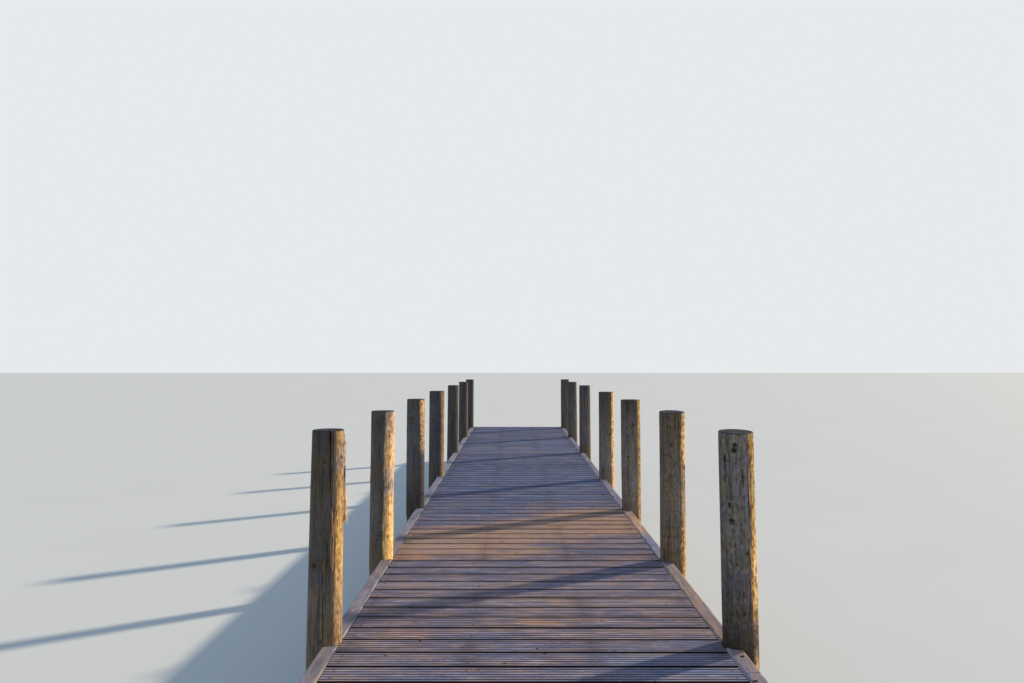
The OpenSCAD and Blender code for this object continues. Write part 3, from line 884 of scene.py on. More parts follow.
def log_turns(z, columns, checks, seed):
    """Angle of every column at every row, bent onto the checks; and how deep each lies."""
    usual_radius, bent_columns = 0.083, 10
    even = 2 * np.pi * np.arange(columns) / columns
    turns = np.tile(even, (len(z), 1))
    inward = np.zeros_like(turns)
    step = even[1]
    for number, check in enumerate(checks):
        middle_column = int(round(np.radians(check.turn) / step)) % columns
        away = wrapped(check.course(z, seed + 7 * number) - even[middle_column])
        for near in range(-bent_columns, bent_columns + 1):
            pull = (1 - (near / (bent_columns + 1)) ** 2) ** 2
            turns[:, (middle_column + near) % columns] += pull * away
        opened = check.openness(z)
        ragged = 1 + 0.35 * noise(heights_only(z), 0.03, seed + number)
        half = check.width * opened * ragged / 2 / usual_radius
        blend = soft_step(opened, 0.0, 0.25)
        lip = step * (1 - blend) + np.clip(half, 0.12 * step, 2 * step) * blend
        centre = turns[:, middle_column].copy()
        turns[:, (middle_column + 1) % columns] = centre + lip
        turns[:, (middle_column - 1) % columns] = centre - lip
        inward[:, middle_column] = check.depth * opened
    return turns, inward


# %% Places on a log
# The mark knot counts in knot sizes; points further away from any knot keep this value.
FAR = 4.0


def own(table, log):
    """What a table with a row for each side says about one log."""
    side, pair = log["key"]
    return table[side][pair - 1]


def off_axis(radius, turn):
    """How far a point lies from a log's axis, in x and in y."""
    return radius * np.sin(turn), -radius * np.cos(turn)


def on_log(log, z, reach, turn):
    """Places x and y at some heights of a log, as far from its axis as reach says."""
    return [centre + off for centre, off in zip(axis_at(log, z), off_axis(reach, turn))]


def fibre_start(log):
    """Where in the endless grain a log's own grain starts, so that no two logs look alike."""
    return np.array([2.37 * log["seed"], 0.0, 0.0])


# %% The surface of a log
swell_from, swell_full = 0.50, 0.66


def log_surface(log, z, turns, knots, seed, fine):
    """Radius of every point of a log, the marks for knots, and the grain's turn."""
    rows, columns = turns.shape
    flat_z, flat_turn = np.repeat(z, columns), turns.ravel()
    radius = radius_at(log, flat_z)
    spot = np.stack([*off_axis(radius, flat_turn), flat_z], axis=1) + np.array([3.1, 5.7, 1.9]) * seed
    surface = radius + 0.0013 * noise(spot, (2, 2, 0.45), seed)
    surface += 0.0016 * noise(spot, (0.11, 0.11, 0.7), seed + 1)
    outward = np.clip(log["side"] * np.sin(flat_turn), 0, 1) ** 2
    surface += own(OUTER_SWELL, log) * outward * soft_step(flat_z, swell_from, swell_full)
    surface += 0.0007 * noise(spot, (0.022, 0.022, 0.30), seed + 2)
    if fine:
        surface += 0.00035 * noise(spot, (0.009, 0.009, 0.12), seed + 3)
    near = np.full(len(spot), FAR)
    from_knot = np.ones((len(spot), 3))
    grain_turn = flat_turn.copy()
    for turn, over_deck, size, proud, tall in knots:
        along = (flat_z - (deck_top + over_deck)) / tall
        around = wrapped(flat_turn - math.radians(turn)) * radius
        far = np.hypot(around, along) / size
        nearest = far < near
        from_knot[nearest, 0], from_knot[nearest, 1] = around[nearest], along[nearest]
        from_knot[nearest, 2] = size
        surface += proud * np.exp(-(far / 1.7) ** 2)
        surface -= 0.0007 * np.exp(-((far - 1.05) / 0.22) ** 2) + 0.0012 * np.exp(-(far / 0.4) ** 2)
        near = np.minimum(near, far)
        grain_turn -= around / np.maximum(far, 1) ** 2 / radius
    return surface.reshape(rows, columns), near, from_knot, grain_turn


def seat_bearers(log, z, x, y):
    """Cuts the two level housings: in their rows no point stands proud of the bearers' faces."""
    pair = pairs[log["key"][1]]
    (cos, sin, _), face = pair["along"], pair["inner"]
    x, y = x - log["x"], y - log["y"]
    along, across = x * cos + y * sin, y * cos - x * sin
    inside = (z > bearer_under) & (z < bearer_top)
    across = np.where(inside, np.clip(across, -face, face), across)
    return along * cos - across * sin + log["x"], along * sin + across * cos + log["y"]


# %% What sets each log apart
# One entry for each pair, from the nearest on. First how much fuller the outer side is, in metres.
OUTER_SWELL = {
    "left": (0.002, 0.007, 0.012, 0.0, 0.0, 0.0, 0.0),
    "right": (0.003, 0.009, 0.004, 0.008, 0.0, 0.0, 0.0),
}
SLOPED_TOP = {("right", 1): 0.0078, ("right", 2): 0.0115}
# The turn from which painted sunlight covers a log, at the heights SUNNY_HEIGHTS over the deck;
# then the degrees that it reaches over, and those in which it fades out.
SUNNY_HEIGHTS, SUNNY_WIDE, SUNNY_FADE = (0.1, 0.75, 1.0), 165, 30
SUNNY_FROM = {
    "left": ((40, 48, 41), (14, 14, 19), (34, 30, 27), (40, 41, 38), (58, 55, 57), (52, 55, 55),
             (50, 48, 50)),
    "right": ((24, 30, 26), (33, 34, 35), (38, 36, 40), (34, 35, 34), (60, 62, 58), (48, 50, 50),
              (45, 44, 45)),
}
# How bright the grey side is at the heights TONE_HEIGHTS, then its cast, from brown, 0, to blue, 1.
TONE_HEIGHTS = (0.0, 0.2, 0.4, 0.6, 1.0)
LOG_TONES = {
    "left": ((2.36, 2.20, 1.16, 1.33, 1.00, 0.4), (2.00, 1.84, 1.79, 1.41, 1.43, 0.5),
             (1.00, 1.36, 1.62, 1.75, 1.40, 1.1), (1.36, 1.36, 1.30, 1.35, 1.38, 1.5),
             (1.2, 1.2, 1.2, 1.2, 1.2, 1.2), (1.3, 1.3, 1.25, 1.2, 1.2, 1.0), (1.2, 1.2, 1.2, 1.2, 1.1, 1.1)),
    "right": ((0.78, 1.65, 2.20, 2.33, 2.37, 0.7), (2.20, 2.30, 2.37, 2.14, 1.60, -0.05),
              (2.20, 2.97, 2.68, 2.55, 1.21, 0.65), (2.52, 3.02, 2.58, 2.16, 1.12, 0.55),
              (1.7, 1.85, 1.85, 1.7, 1.3, 0.9), (1.7, 1.8, 1.75, 1.6, 1.3, 0.8),
              (1.6, 1.8, 1.75, 1.6, 1.3, 0.9)),
}

# %% Blotches, painted half shade and the painted sunlit side of each log
BLOTCHED = {"left": (0.35, 0.30, 0.5, 0.4, 0.5, 0.5, 0.5), "right": (1.0, 0.8, 0.5, 0.5, 0.5, 0.5, 0.5)}
# How strongly each log gets that painted half shade.
PAINTED_HALF_SHADE = {"left": (1.0, 0.6, 0.6, 0.8, 0.3, 0.3, 0.4), "right": (0.15, 0.3, 0.4, 0.4, 0.3, 0.4, 0.4)}
BROWN_CAST, BLUE_CAST, FOOT_CAST = np.array([[1.06, 0.96, 0.84], [0.92, 0.95, 1.04], [1.05, 0.96, 0.79]])
# The painted sunlit side: height over the deck, how much of it is painted as sunlit, how golden it is,
# and how bright; low values paint shadows, as at the foot of the first right log, low on the third
# left one and in a band halfway up the second left one.
SUN_SIDE = {
    "left": (
        ((-0.05, 1, 0.4, 0.80), (0.04, 1, 0.4, 0.85), (0.19, 1, 0.5, 0.95), (0.39, 1, 0.8, 1.15),
         (0.587, 1, 0.9, 1.05), (0.736, 1, 0.75, 0.85), (0.835, 1, 0.5, 0.75), (0.87, 1, -0.5, 0.78),
         (0.93, 1, -0.5, 0.76), (0.96, 1, 0.4, 0.90), (1.01, 1, 0.7, 0.80)),
        ((0.0, 1, 0.85, 2.0), (0.116, 1, 0.85, 2.12), (0.328, 1, 0.7, 2.05), (0.44, 1, 0.6, 1.7),
         (0.505, 1, -0.6, 1.2), (0.58, 1, 0.1, 1.50), (0.682, 1, 0.7, 1.85), (0.824, 1, 0.5, 1.70),
         (1.0, 1, 0.1, 1.40)),
        ((0.50, 0, 0.2, 1.0), (0.60, 0.95, 0.3, 1.15), (1.0, 0.95, 0.6, 1.36)),
        ((0.0, 0.6, 0.4, 0.84), (1.0, 0.7, 0.4, 0.84)),
        ((0.0, 0.2, 0.6, 1.0),), ((0.0, 0.2, 0.6, 1.0),), ((0.0, 0.15, 0.6, 1.0),)),
    "right": (
        ((-0.083, 1, 1.3, 1.15), (-0.01, 1, 0.0, 0.52), (0.07, 1, 0.0, 0.45), (0.14, 1, 0.4, 0.8),
         (0.165, 1, 1.1, 1.05), (0.24, 1, 1.2, 1.66), (0.39, 1, 1.1, 1.66), (0.537, 1, 1.1, 1.42),
         (0.66, 1, 0.8, 1.15), (0.76, 1, 0.6, 0.95), (0.885, 1, 1.7, 0.90), (0.95, 1, 2.0, 1.0),
         (1.0, 1, 2.0, 1.05)),
        ((0.0, 1, 1.2, 1.15), (0.132, 1, 1.1, 1.25), (0.342, 1, 0.5, 0.90), (0.551, 1, 0.1, 0.72),
         (0.65, 1, 0.6, 1.0), (0.691, 1, 1.2, 1.30), (0.831, 1, 1.3, 1.36), (0.971, 1, 1.3, 1.25)),
        ((0.0, 0.9, 1.2, 1.03),), ((0.0, 1.0, 0.9, 1.56),),
        ((0.0, 0.3, 0.6, 1.0),), ((0.0, 0.35, 0.6, 1.0),), ((0.0, 0.20, 0.6, 1.0),)),
}

# %% Stains and a painted shadow on the nearest logs
# Soft stains, and one painted shadow band across the second left log, the row at 45 degrees: turn,
# height over the deck, half width, half height, and from pale, -1, to dark, 1.
STAINS_AND_PAINTED_SHADOW = {
    ("left", 1): ((-20, -0.02, 0.016, 0.040, 0.8), (28, 0.056, 0.009, 0.014, 0.7),
                  (66, 0.915, 0.012, 0.014, 0.7), (-52, 0.62, 0.014, 0.20, -0.5),
                  (-16, 0.56, 0.012, 0.16, 0.35), (38, 0.09, 0.020, 0.14, 0.9)),
    ("right", 1): ((-18, 0.972, 0.015, 0.008, 1.3), (4, 0.70, 0.006, 0.19, 0.9),
                   (15, 0.72, 0.011, 0.20, -0.85), (-58, 0.86, 0.007, 0.065, 0.9),
                   (-42, 0.70, 0.006, 0.12, 0.4), (2, 0.42, 0.010, 0.10, 0.35),
                   (-20, 0.10, 0.03, 0.05, 0.3)),
    ("left", 2): ((45, 0.525, 0.030, 0.004, 0.8), (-5, 0.60, 0.010, 0.20, 0.3),
                  (-9, 0.178, 0.012, 0.009, 1.2), (-9, 0.150, 0.012, 0.009, 1.2)),
    ("right", 2): ((-13, 0.93, 0.05, 0.010, 0.6), (-13, 0.855, 0.05, 0.008, 0.4),
                   (-10, 0.251, 0.05, 0.007, 0.7), (-13, 0.181, 0.05, 0.009, 0.6),
                   (-15, 0.076, 0.05, 0.010, 0.6), (15, 0.60, 0.012, 0.20, -0.5)),
}

# %% Marks of a log
def sunny_share(log, z, turns):
    """How far inside its painted sunlit side each point of a log is, from -1 to 1."""
    spot, seed = heights_only(z), log["seed"]
    start = np.interp(z - deck_top, SUNNY_HEIGHTS, own(SUNNY_FROM, log))
    start += 2.5 * noise(spot, 0.16, seed + 8) + 2 * noise(spot, 0.04, seed + 9)
    beyond = (np.degrees(turns) - start[:, None] + 90) % 360 - 90
    return np.clip(np.minimum(beyond, SUNNY_WIDE - beyond) / SUNNY_FADE, -1, 1)


def log_tint(log, z):
    """Colour that a log's grey side is multiplied with at each height."""
    *tones, cast = own(LOG_TONES, log)
    tone = np.interp(z - deck_top, TONE_HEIGHTS, tones)
    foot = soft_step(z - deck_top, 0.24, 0.06)[:, None]
    return tone[:, None] * (BROWN_CAST * (1 - cast) + BLUE_CAST * cast) * (1 - foot * (1 - FOOT_CAST))


def stain_and_shadow_share(log, flat_z, flat_turn):
    """How stained each point of a log is, with one painted shadow among the stains, from -1, pale, to 1,
    dark.
    """
    total = np.zeros(len(flat_z))
    for turn, over_deck, wide, tall, dark in STAINS_AND_PAINTED_SHADOW.get(log["key"], ()):
        around = wrapped(flat_turn - math.radians(turn)) * log["radius"]
        along = flat_z - (deck_top + over_deck)
        total += dark * np.exp(-(around / wide) ** 2 - (along / tall) ** 2)
    return np.clip(total, -1, 1)


# %% A whole log
CAP_RINGS = (0.93, 0.8, 0.6, 0.38, 0.18, 0.05)
below_top = 0.0015


def log_part(log, checks, knots, columns, spacing):
    """Points, faces and marks of one log, from its sawn foot to its worn top."""
    height, seed = log["height"] - below_top, log["seed"]
    z = log_rows(height, spacing)
    turns, inward = log_turns(z, columns, checks, seed)
    surface, near, from_knot, grain_turn = log_surface(log, z, turns, knots, seed, columns > 100)
    rim = np.stack([0.05 * np.cos(turns[-1]), 0.05 * np.sin(turns[-1]), 0 * turns[-1]], axis=1)
    worn = 0.0065 + 0.0025 * noise(rim, 0.03, seed + 5)
    below = np.clip((height - z[:, None]) / worn, 0, 1)
    surface -= 0.8 * worn * (1 - np.sqrt(1 - (1 - below) ** 2))
    surface -= inward
    x, y = seat_bearers(log, z[:, None], *on_log(log, z[:, None], surface, turns))
    rows = [np.stack([x, y, np.repeat(z[:, None], columns, axis=1)], axis=2)]
    top = rows[0][-1]
    centre = np.array([*axis_at(log, height), height])
    for ring in CAP_RINGS:
        row = centre + (top - centre) * ring
        dish = min(1, 2.2 - 2 * ring) * (1 + noise(row - centre, 0.025, seed + 6))
        row[:, 2] = height - 0.0011 * dish
        rows.append(row[None])
    points = np.concatenate(rows).reshape(-1, 3)
    cap = points[len(z) * columns:] - centre
    back = np.clip(0.5 + 0.5 * (points[:, 1] - centre[1]) / log["radius"], 0, 1)
    slope = SLOPED_TOP.get(log["key"], 0.0) * back
    points[:, 2] += slope * soft_step(points[:, 2], height - 0.2, height)
    flat_z = np.repeat(z, columns)
    grain = np.stack([flat_z, *off_axis(radius_at(log, flat_z), grain_turn)], axis=1)
    start = fibre_start(log)
    cap_grain = np.stack([cap[:, 2] + height, cap[:, 0], cap[:, 1]], axis=1)
    courses = read_off(own(SUN_SIDE, log), z - deck_top)
    painted_sunlight, painted_sun_gold, painted_sun_level = [np.repeat(course, columns) for course in courses]
    on_sides_and_cap = {
        "fibre": (grain + start, cap_grain + start),
        "end": (np.clip((flat_z - height + 0.006) / 0.005, 0, 1), 1.0),
        "knot": (near, FAR), "from_knot": (from_knot, 1.0),
        "deep": (np.clip(inward / 0.006, 0, 1).ravel(), 0.0),
        "sunny": (sunny_share(log, z, turns).ravel(), -1.0),
        "tint": (np.repeat(log_tint(log, z), columns, axis=0), 1.0),
        "painted_sun_gold": (painted_sun_gold, 1.0), "painted_sun_level": (painted_sun_level, 1.0), "painted_sunlight": (painted_sunlight, 0.0),
        "stain_and_painted_shadow": (stain_and_shadow_share(log, flat_z, turns.ravel()), 0.0),
    }
    marks = {name: np.concatenate([sides, np.broadcast_to(on_cap, (len(cap), *sides.shape[1:]))])
             for name, (sides, on_cap) in on_sides_and_cap.items()}
    for name, value in (("painted_half_shade", own(PAINTED_HALF_SHADE, log)), ("blotched", own(BLOTCHED, log)), ("fresh", 0.0)):
        marks[name] = np.full(len(points), value)
    return {"points": points, "faces": closed_tube(len(z) + len(CAP_RINGS), columns), "marks": marks}


# %% [markdown]
# ## The first two pairs, feature by feature
# The nearest logs are seen best, so their checks and knots are placed one by
# one. The long check that opens at the top of each log is the one that its
# solid has. The other logs get theirs from a steady roll of the dice.

# %% Checks of the nearest logs
CHECK_LENGTH = {
    "left": (0.37, 0.21, 0.42, 0.26, 0.50, 0.18, 0.30),
    "right": (0.26, 0.38, 0.22, 0.45, 0.30, 0.24, 0.40),
}


def top_check_turn(log):
    """Where the solid's check opens in its top face."""
    points = corners("pile_%s_%d" % log["key"])
    top = points[points[:, 2] > log["height"] - top_slice]
    x, y = axis_at(log, log["height"])
    near = top[np.argmin(np.hypot(top[:, 0] - x, top[:, 1] - y))]
    return math.degrees(math.atan2(near[0] - x, y - near[1]))


# Checks: turn, upper and lower end over the deck, drift in degrees, width and depth in metres.
NEAR_CHECKS = {
    ("left", 1): ((6, 0.50, -0.12, 10, 0.0032, 0.016), (37, 0.61, 0.33, -3, 0.0045, 0.012),
                  (-40, 0.93, 0.30, 8, 0.0018, 0.010), (150, 0.95, -0.20, 9, 0.0045, 0.030),
                  (-120, 0.60, -0.45, -8, 0.003, 0.018)),
    ("right", 1): ((-5, 0.86, 0.50, 2, 0.0016, 0.008), (33, 0.82, 0.40, -3, 0.0026, 0.009),
                   (-52, 0.42, -0.08, 6, 0.0018, 0.009), (120, 0.98, -0.30, -10, 0.005, 0.034),
                   (-150, 0.50, -0.50, 7, 0.003, 0.018)),
    ("left", 2): ((10, 0.60, 0.28, 3, 0.0018, 0.009), (110, 0.90, -0.10, 6, 0.004, 0.026),
                  (-150, 0.45, -0.50, -6, 0.003, 0.016)),
    ("right", 2): ((-30, 0.52, 0.02, 4, 0.0018, 0.009), (-100, 0.85, -0.25, -7, 0.004, 0.026),
                   (150, 0.60, -0.40, 6, 0.003, 0.018)),
}

# %% Knots of the nearest logs
# Knots: turn, height over the deck, radius, how proud, and how many times as tall as wide.
NEAR_KNOTS = {
    ("left", 1): (
        (72, 0.902, 0.009, 0.002, 1.25), (2, 0.891, 0.0065, 0.001, 1.25), (59, 0.319, 0.0035, 0.0, 3.4),
        (76, 0.300, 0.0030, 0.0, 3.0), (62, 0.157, 0.0040, 0.0, 1.6), (-28, 0.39, 0.009, 0.0, 1.25),
        (170, 0.62, 0.016, 0.004, 1.25), (-110, 0.35, 0.013, 0.003, 1.25), (-75, 0.76, 0.009, 0.001, 1.25),
        (130, -0.28, 0.013, 0.003, 1.25)),
    ("right", 1): (
        (-23, 0.948, 0.0125, 0.002, 1.25), (-21, 0.980, 0.0085, 0.0, 1.3), (-42, 0.688, 0.009, 0.002, 1.25),
        (-35, 0.612, 0.013, 0.002, 1.25), (50, 0.335, 0.006, 0.001, 2.5), (13, 0.46, 0.008, 0.001, 1.25),
        (-58, 0.905, 0.010, 0.0, 1.8), (3, 0.818, 0.0075, 0.0, 5.5), (-1, 0.182, 0.009, 0.0, 1.25),
        (24, 0.700, 0.006, 0.0, 2.5), (150, 0.72, 0.015, 0.004, 1.25), (-140, 0.22, 0.014, 0.003, 1.25),
        (95, -0.15, 0.012, 0.002, 1.25)),
    ("left", 2): (
        (43, 0.86, 0.0065, 0.001, 1.25), (50, 0.713, 0.006, 0.001, 1.25), (57, 0.315, 0.006, 0.001, 1.25),
        (45, 0.169, 0.0055, 0.001, 1.25), (0, 0.203, 0.0075, 0.0, 1.25), (0, 0.172, 0.0080, 0.0, 1.25),
        (-90, 0.55, 0.013, 0.003, 1.25), (170, 0.3, 0.014, 0.003, 1.25)),
    ("right", 2): (
        (59, 0.653, 0.013, 0.005, 1.25), (-13, 0.812, 0.010, 0.002, 1.25), (-160, 0.5, 0.014, 0.003, 1.25),
        (110, 0.2, 0.013, 0.003, 1.25), (-70, -0.1, 0.012, 0.002, 1.25)),
}

# %% Checks and knots of the other logs
def rolled_features(dice):
    """Checks and knots for a log further out."""
    turns = dice.permutation(8) * 45 + dice.uniform(-12, 12, 8)
    checks = []
    for turn in turns[:3]:
        high = deck_top + dice.uniform(0.35, 0.9)
        low = high - dice.uniform(0.35, 1.0)
        drift, width, depth = [dice.uniform(*ends) for ends in ((-8, 8), (0.002, 0.004), (0.01, 0.025))]
        checks.append(Check(turn, high, max(low, 0.05), drift, width, depth))
    knots = [(dice.uniform(-180, 180), dice.uniform(-0.5, 0.97), dice.uniform(0.007, 0.013),
              dice.uniform(0.001, 0.004), 1.25) for _ in range(7)]
    return checks, knots


# %% Make the logs
def clear_of(turn, checks, least):
    return [check for check in checks if abs((check.turn - turn + 180) % 360 - 180) > least]


first_check_turned, first_check_drift = -2.0, 9
for number, (key, log) in enumerate(logs.items()):
    near = key in NEAR_CHECKS
    if near:
        knots = NEAR_KNOTS[key]
        checks = [Check(turn, deck_top + high, deck_top + low, *rest)
                  for turn, high, low, *rest in NEAR_CHECKS[key]]
    else:
        checks, knots = rolled_features(np.random.default_rng(40 + number))
    turn, drift = top_check_turn(log), 0
    if key == ("left", 1):
        turn, drift = turn + first_check_turned, first_check_drift
    low = log["height"] - own(CHECK_LENGTH, log)
    top_check = Check(turn, log["height"], low, drift, width=0.0062, depth=0.040, open_top=True)
    checks = [top_check] + clear_of(turn, checks, 10 if near else 22)
    columns, spacing = (132, 0.0072) if near else (76, 0.014)
    log["seed"] = 11 + number
    name = "%s_%d" % key
    part = log_part(log, checks, knots, columns, spacing)
    make_piece(f"log_{name}", part, log_finish, "pile_log", f"pile_{name}")

# %% [markdown]
# ## Ribbed boards
# Each board is one outline, with its ribs and grooves, swept from kerb to
# kerb. Use has rounded the ribs and rain has cupped the boards, so every
# board sinks, twists and wears a little differently. The screws sit on the
# ribs over the four joists and follow their board.

# %% Outline of a board
groove_half, groove_deep = 0.0036, 0.003
board_wide, board_gap = 0.145, 0.007
board_pitch = board_wide + board_gap
board_half_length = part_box("deck_boards_bay_1")[1].x
board_end_edge = 0.001


def board_outline():
    """Outline across a board with its marks for rib and for painted shade, seen from its right end."""
    thick, wide = board_thick, board_wide
    # Each corner: how far across, how far up, how high on its rib, and how dark it is painted as shade in the
    # gap and under the board.
    edge = [(0.0007, -0.0085, 0.5, 1.0), (0.0012, -0.0045, 0.6, 1.0), (0.0028, -0.0018, 0.7, 1.0),
            (0.0045, -0.0007, 0.85, 1.0), (0.0064, -0.0002, 0.95, 0.85), (0.0105, 0.0, 1.0, 0.0)]
    top = list(edge)
    for groove in range(5):
        centre = first_groove + groove * groove_pitch
        if groove:
            top += [(centre - groove_pitch + 0.0066, 0.0, 1.0, 0.0), (centre - 0.0066, 0.0, 1.0, 0.0)]
        top += [(centre - groove_half, -0.0004, 0.55, 0.0), (centre - 0.0024, -0.0026, 0.1, 0.0),
                (centre, -groove_deep, 0.0, 0.0), (centre + 0.0024, -0.0026, 0.1, 0.0),
                (centre + groove_half, -0.0004, 0.55, 0.0)]
    top += [(wide - y, down, rib, side) for y, down, rib, side in reversed(edge)]
    under = [(0.003, -thick), (wide / 2, -thick), (wide - 0.003, -thick)]
    outline = [(y, z, 0.5, 0.6) for y, z in under]
    outline += [(wide - 0.0007, -thick + 0.002, 0.5, 1.0), (wide - 0.0007, -thick / 2, 0.5, 1.0)]
    outline += reversed(top)
    outline += [(0.0007, -thick / 2, 0.5, 1.0), (0.0007, -thick + 0.002, 0.5, 1.0)]
    return np.array(outline)


OUTLINE = board_outline()
print("points across a board:", len(OUTLINE))

# %% Colour and painted light of the nearer boards
# At places along each board: x, then how dark, then from tan to blue. The tan on boards 16 to 24
# paints patches of sunlight, the blue on boards 22 to 29 paints shade, and the pale blue right ends
# of boards 2 to 5 paint shade too.
BOARD_TONES_AND_PAINTED_LIGHT = {
    2: ((-0.8, 0.42, 0.55), (0.1, 0.58, 0.66), (0.6, 0.05, 0.95)),
    3: ((-0.75, 0.22, 0.50), (-0.4, 0.54, 0.70), (0.1, 0.54, 0.76), (0.4, 0.0, 0.90), (0.9, 0.2, 0.90)),
    4: ((-0.75, 0.0, 0.42), (-0.4, 0.36, 0.62), (0.1, 0.48, 0.70), (0.4, 0.0, 0.95), (0.9, 0.0, 0.95)),
    5: ((-0.7, 0.50, 0.42), (0.2, 0.54, 0.50), (0.6, 0.35, 0.50), (0.9, 0.2, 0.9)),
    6: ((-0.7, 0.48, 0.42), (-0.2, 0.36, 0.42), (0.5, 0.32, 0.45)), 7: ((0.0, 0.56, 0.40),),
    8: ((-0.3, 0.54, 0.45), (0.3, 0.50, 0.42)), 9: ((-0.8, 0.20, 0.62), (-0.3, 0.0, 0.40)),
    10: ((0.0, 0.36, 0.58),), 11: ((-0.2, 0.05, 0.42), (0.2, 0.0, 0.42)), 12: ((0.0, 0.50, 0.62),),
    13: ((0.0, 0.55, 0.68),), 14: ((0.0, 0.45, 0.58),), 15: ((-0.4, 0.36, 0.12), (0.2, 0.42, 0.42)),
    16: ((-0.1, 0.06, -0.15), (0.4, 0.45, 0.55)), 17: ((-0.2, 0.03, -0.24), (0.3, 0.42, 0.45)),
    18: ((0.0, 0.0, -0.24), (0.6, 0.42, 0.42)), 19: ((0.3, 0.20, -0.20), (0.8, 0.45, 0.30)),
    20: ((0.0, 0.15, -0.28),), 21: ((-0.8, 0.35, 0.35), (-0.4, 0.30, -0.15)),
    22: ((-0.5, 0.50, 0.75), (0.0, 0.25, -0.10)), 23: ((-0.3, 0.50, 0.85), (0.2, 0.32, -0.12)),
    24: ((-0.15, 0.50, 0.90), (0.35, 0.30, -0.05)), 25: ((-0.1, 0.60, 1.0), (0.4, 0.30, 0.10)),
    26: ((-0.1, 0.58, 1.0), (0.4, 0.40, 0.50)), 27: ((0.0, 0.68, 1.05),), 28: ((0.0, 0.55, 1.0),),
    29: ((0.0, 0.62, 1.1),),
}

# %% One board
def board_part(y_start, number, stations):
    """A worn board with its own tone; returns it and how its top lies at a place."""
    dice = np.random.default_rng(900 + number)
    reach = board_half_length + 0.0045 - dice.uniform(0.0, 0.0015, 2)
    nudge, drop, cup, twist = [dice.uniform(*ends) for ends in (
        (-0.0008, 0.0008), (0.0002, 0.0016), (-0.0009, 0.0007), (-0.0008, 0.0008))]
    stops = np.linspace(-reach[0], reach[1], stations)
    stops[1], stops[-2] = stops[0] + board_end_edge, stops[-1] - board_end_edge
    grid_x, across = [grid.ravel() for grid in np.meshgrid(stops, OUTLINE[:, 0], indexing="ij")]
    up, ridge, side = np.tile(OUTLINE[:, 1:], (stations, 1)).T

    def lie(at_x, at_y):
        """How far the board's top lies above the level of the deck."""
        share = (at_y / board_wide - 0.5) * 2
        return -drop + cup * (share ** 2 - 0.5) + twist * share * at_x / board_half_length

    grid_up = up + lie(grid_x, across) * (1 + up / board_thick)
    spot = np.stack([grid_x + 3.7 * number, across, 0 * across], axis=1)
    rubbed = 0.5 + 0.5 * noise(spot, (0.16, 0.012, 1), 5)
    chipped = soft_step(noise(spot, (0.035, 0.006, 1), 6), 0.62, 0.9)
    loss = ridge * (0.0006 * rubbed) + (ridge > 0.4) * (ridge < 0.95) * 0.0014 * chipped
    wave = 0.0007 * noise(spot, (0.5, 10, 1), 8)
    points = np.stack([grid_x, y_start + nudge + across + wave, deck_top + grid_up - loss], axis=1)
    offset = np.array([dice.uniform(0, 40), dice.uniform(0, 9), dice.uniform(0, 9)])
    # Boards further out are painted bluer, as shade.
    far_painted_shade = float(soft_step(number, 19, 31))
    tone, cast = dice.uniform(0.15, 0.85), dice.uniform(0.15, 0.75) + 0.75 * far_painted_shade
    about = grid_x + 0.20 * noise(spot, (0.25, 0.03, 1), 12)
    tones, casts = read_off(BOARD_TONES_AND_PAINTED_LIGHT.get(number, ((0.0, tone, cast),)), about)
    stain = max(0.0, dice.uniform(-0.5, 1.0))
    marks = {
        "fibre": np.stack([grid_x, across, grid_up], axis=1) + offset,
        "ridge": ridge, "side": side, "across": across, "tone": tones, "cast": casts,
        "end": np.isin(grid_x, (stops[0], stops[-1])) * 1.0, "stain": np.full(len(points), stain),
    }
    part = {"points": points, "faces": closed_tube(stations, len(OUTLINE)), "marks": marks}
    return part, lambda at_x, at_y: (y_start + nudge + at_y, deck_top + lie(at_x, at_y))


# %% [markdown]
# ## Turned and pressed steel
# Screw heads, bolts, nuts and washers are all turned shapes: an outline of
# radius and height, spun in 4, 6 or more steps. Four steps make a square
# plate washer, six a nut, and eight or more a round head.

# %% Turned shapes
def turned(profile, steps, axis=(0, 0, 1), place=(0, 0, 0), roll=0.0):
    """A closed shape spun from (radius, height) pairs, standing along an axis."""
    angle = 2 * np.pi * (np.arange(steps) + 0.5) / steps + roll
    rows = [np.stack([radius * np.cos(angle), radius * np.sin(angle), np.full(steps, height)], axis=1)
            for radius, height in profile]
    points = np.concatenate(rows)
    up = np.array(axis, float)
    up /= np.linalg.norm(up)
    helper = np.array([0.0, 0.0, 1.0]) if abs(up[2]) < 0.9 else np.array([1.0, 0.0, 0.0])
    first = np.cross(helper, up)
    first /= np.linalg.norm(first)
    second = np.cross(up, first)
    points = points[:, :1] * first + points[:, 1:2] * second + points[:, 2:] * up + np.array(place)
    return {"points": points, "faces": closed_tube(len(profile), steps), "marks": {}}


SCREW = [(0.0036, -0.004), (0.0041, -0.0004), (0.0037, 0.0001), (0.0015, 0.0), (0.0011, -0.0012)]

# %% Make the boards and their screws
near_boards = 34
board_number = 0
for stretch in ["shore"] + [f"bay_{bay}" for bay in range(1, 7)]:
    low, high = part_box(f"deck_boards_{stretch}")
    boards, screws = [], []
    for row in range(round((high.y - low.y + board_gap) / board_pitch)):
        stations = 44 if board_number < near_boards else 22
        part, lie = board_part(low.y + row * board_pitch, board_number, stations)
        boards.append(part)
        for joist_x in (-JOISTS[1], -JOISTS[0], *JOISTS):
            for across in SCREW_ACROSS:
                y, z = lie(joist_x, across)
                screws.append(turned(SCREW, 8, place=(joist_x, y, z - 0.0003), roll=0.7 * board_number))
        board_number += 1
    make_piece(f"ribbed_boards_{stretch}", join(boards), board_finish, "deck_board",
               f"deck_boards_{stretch}", sharp_from=50)
    make_piece(f"deck_screws_{stretch}", join(screws), steel_finish, "fixing_steel")
print("boards:", board_number)

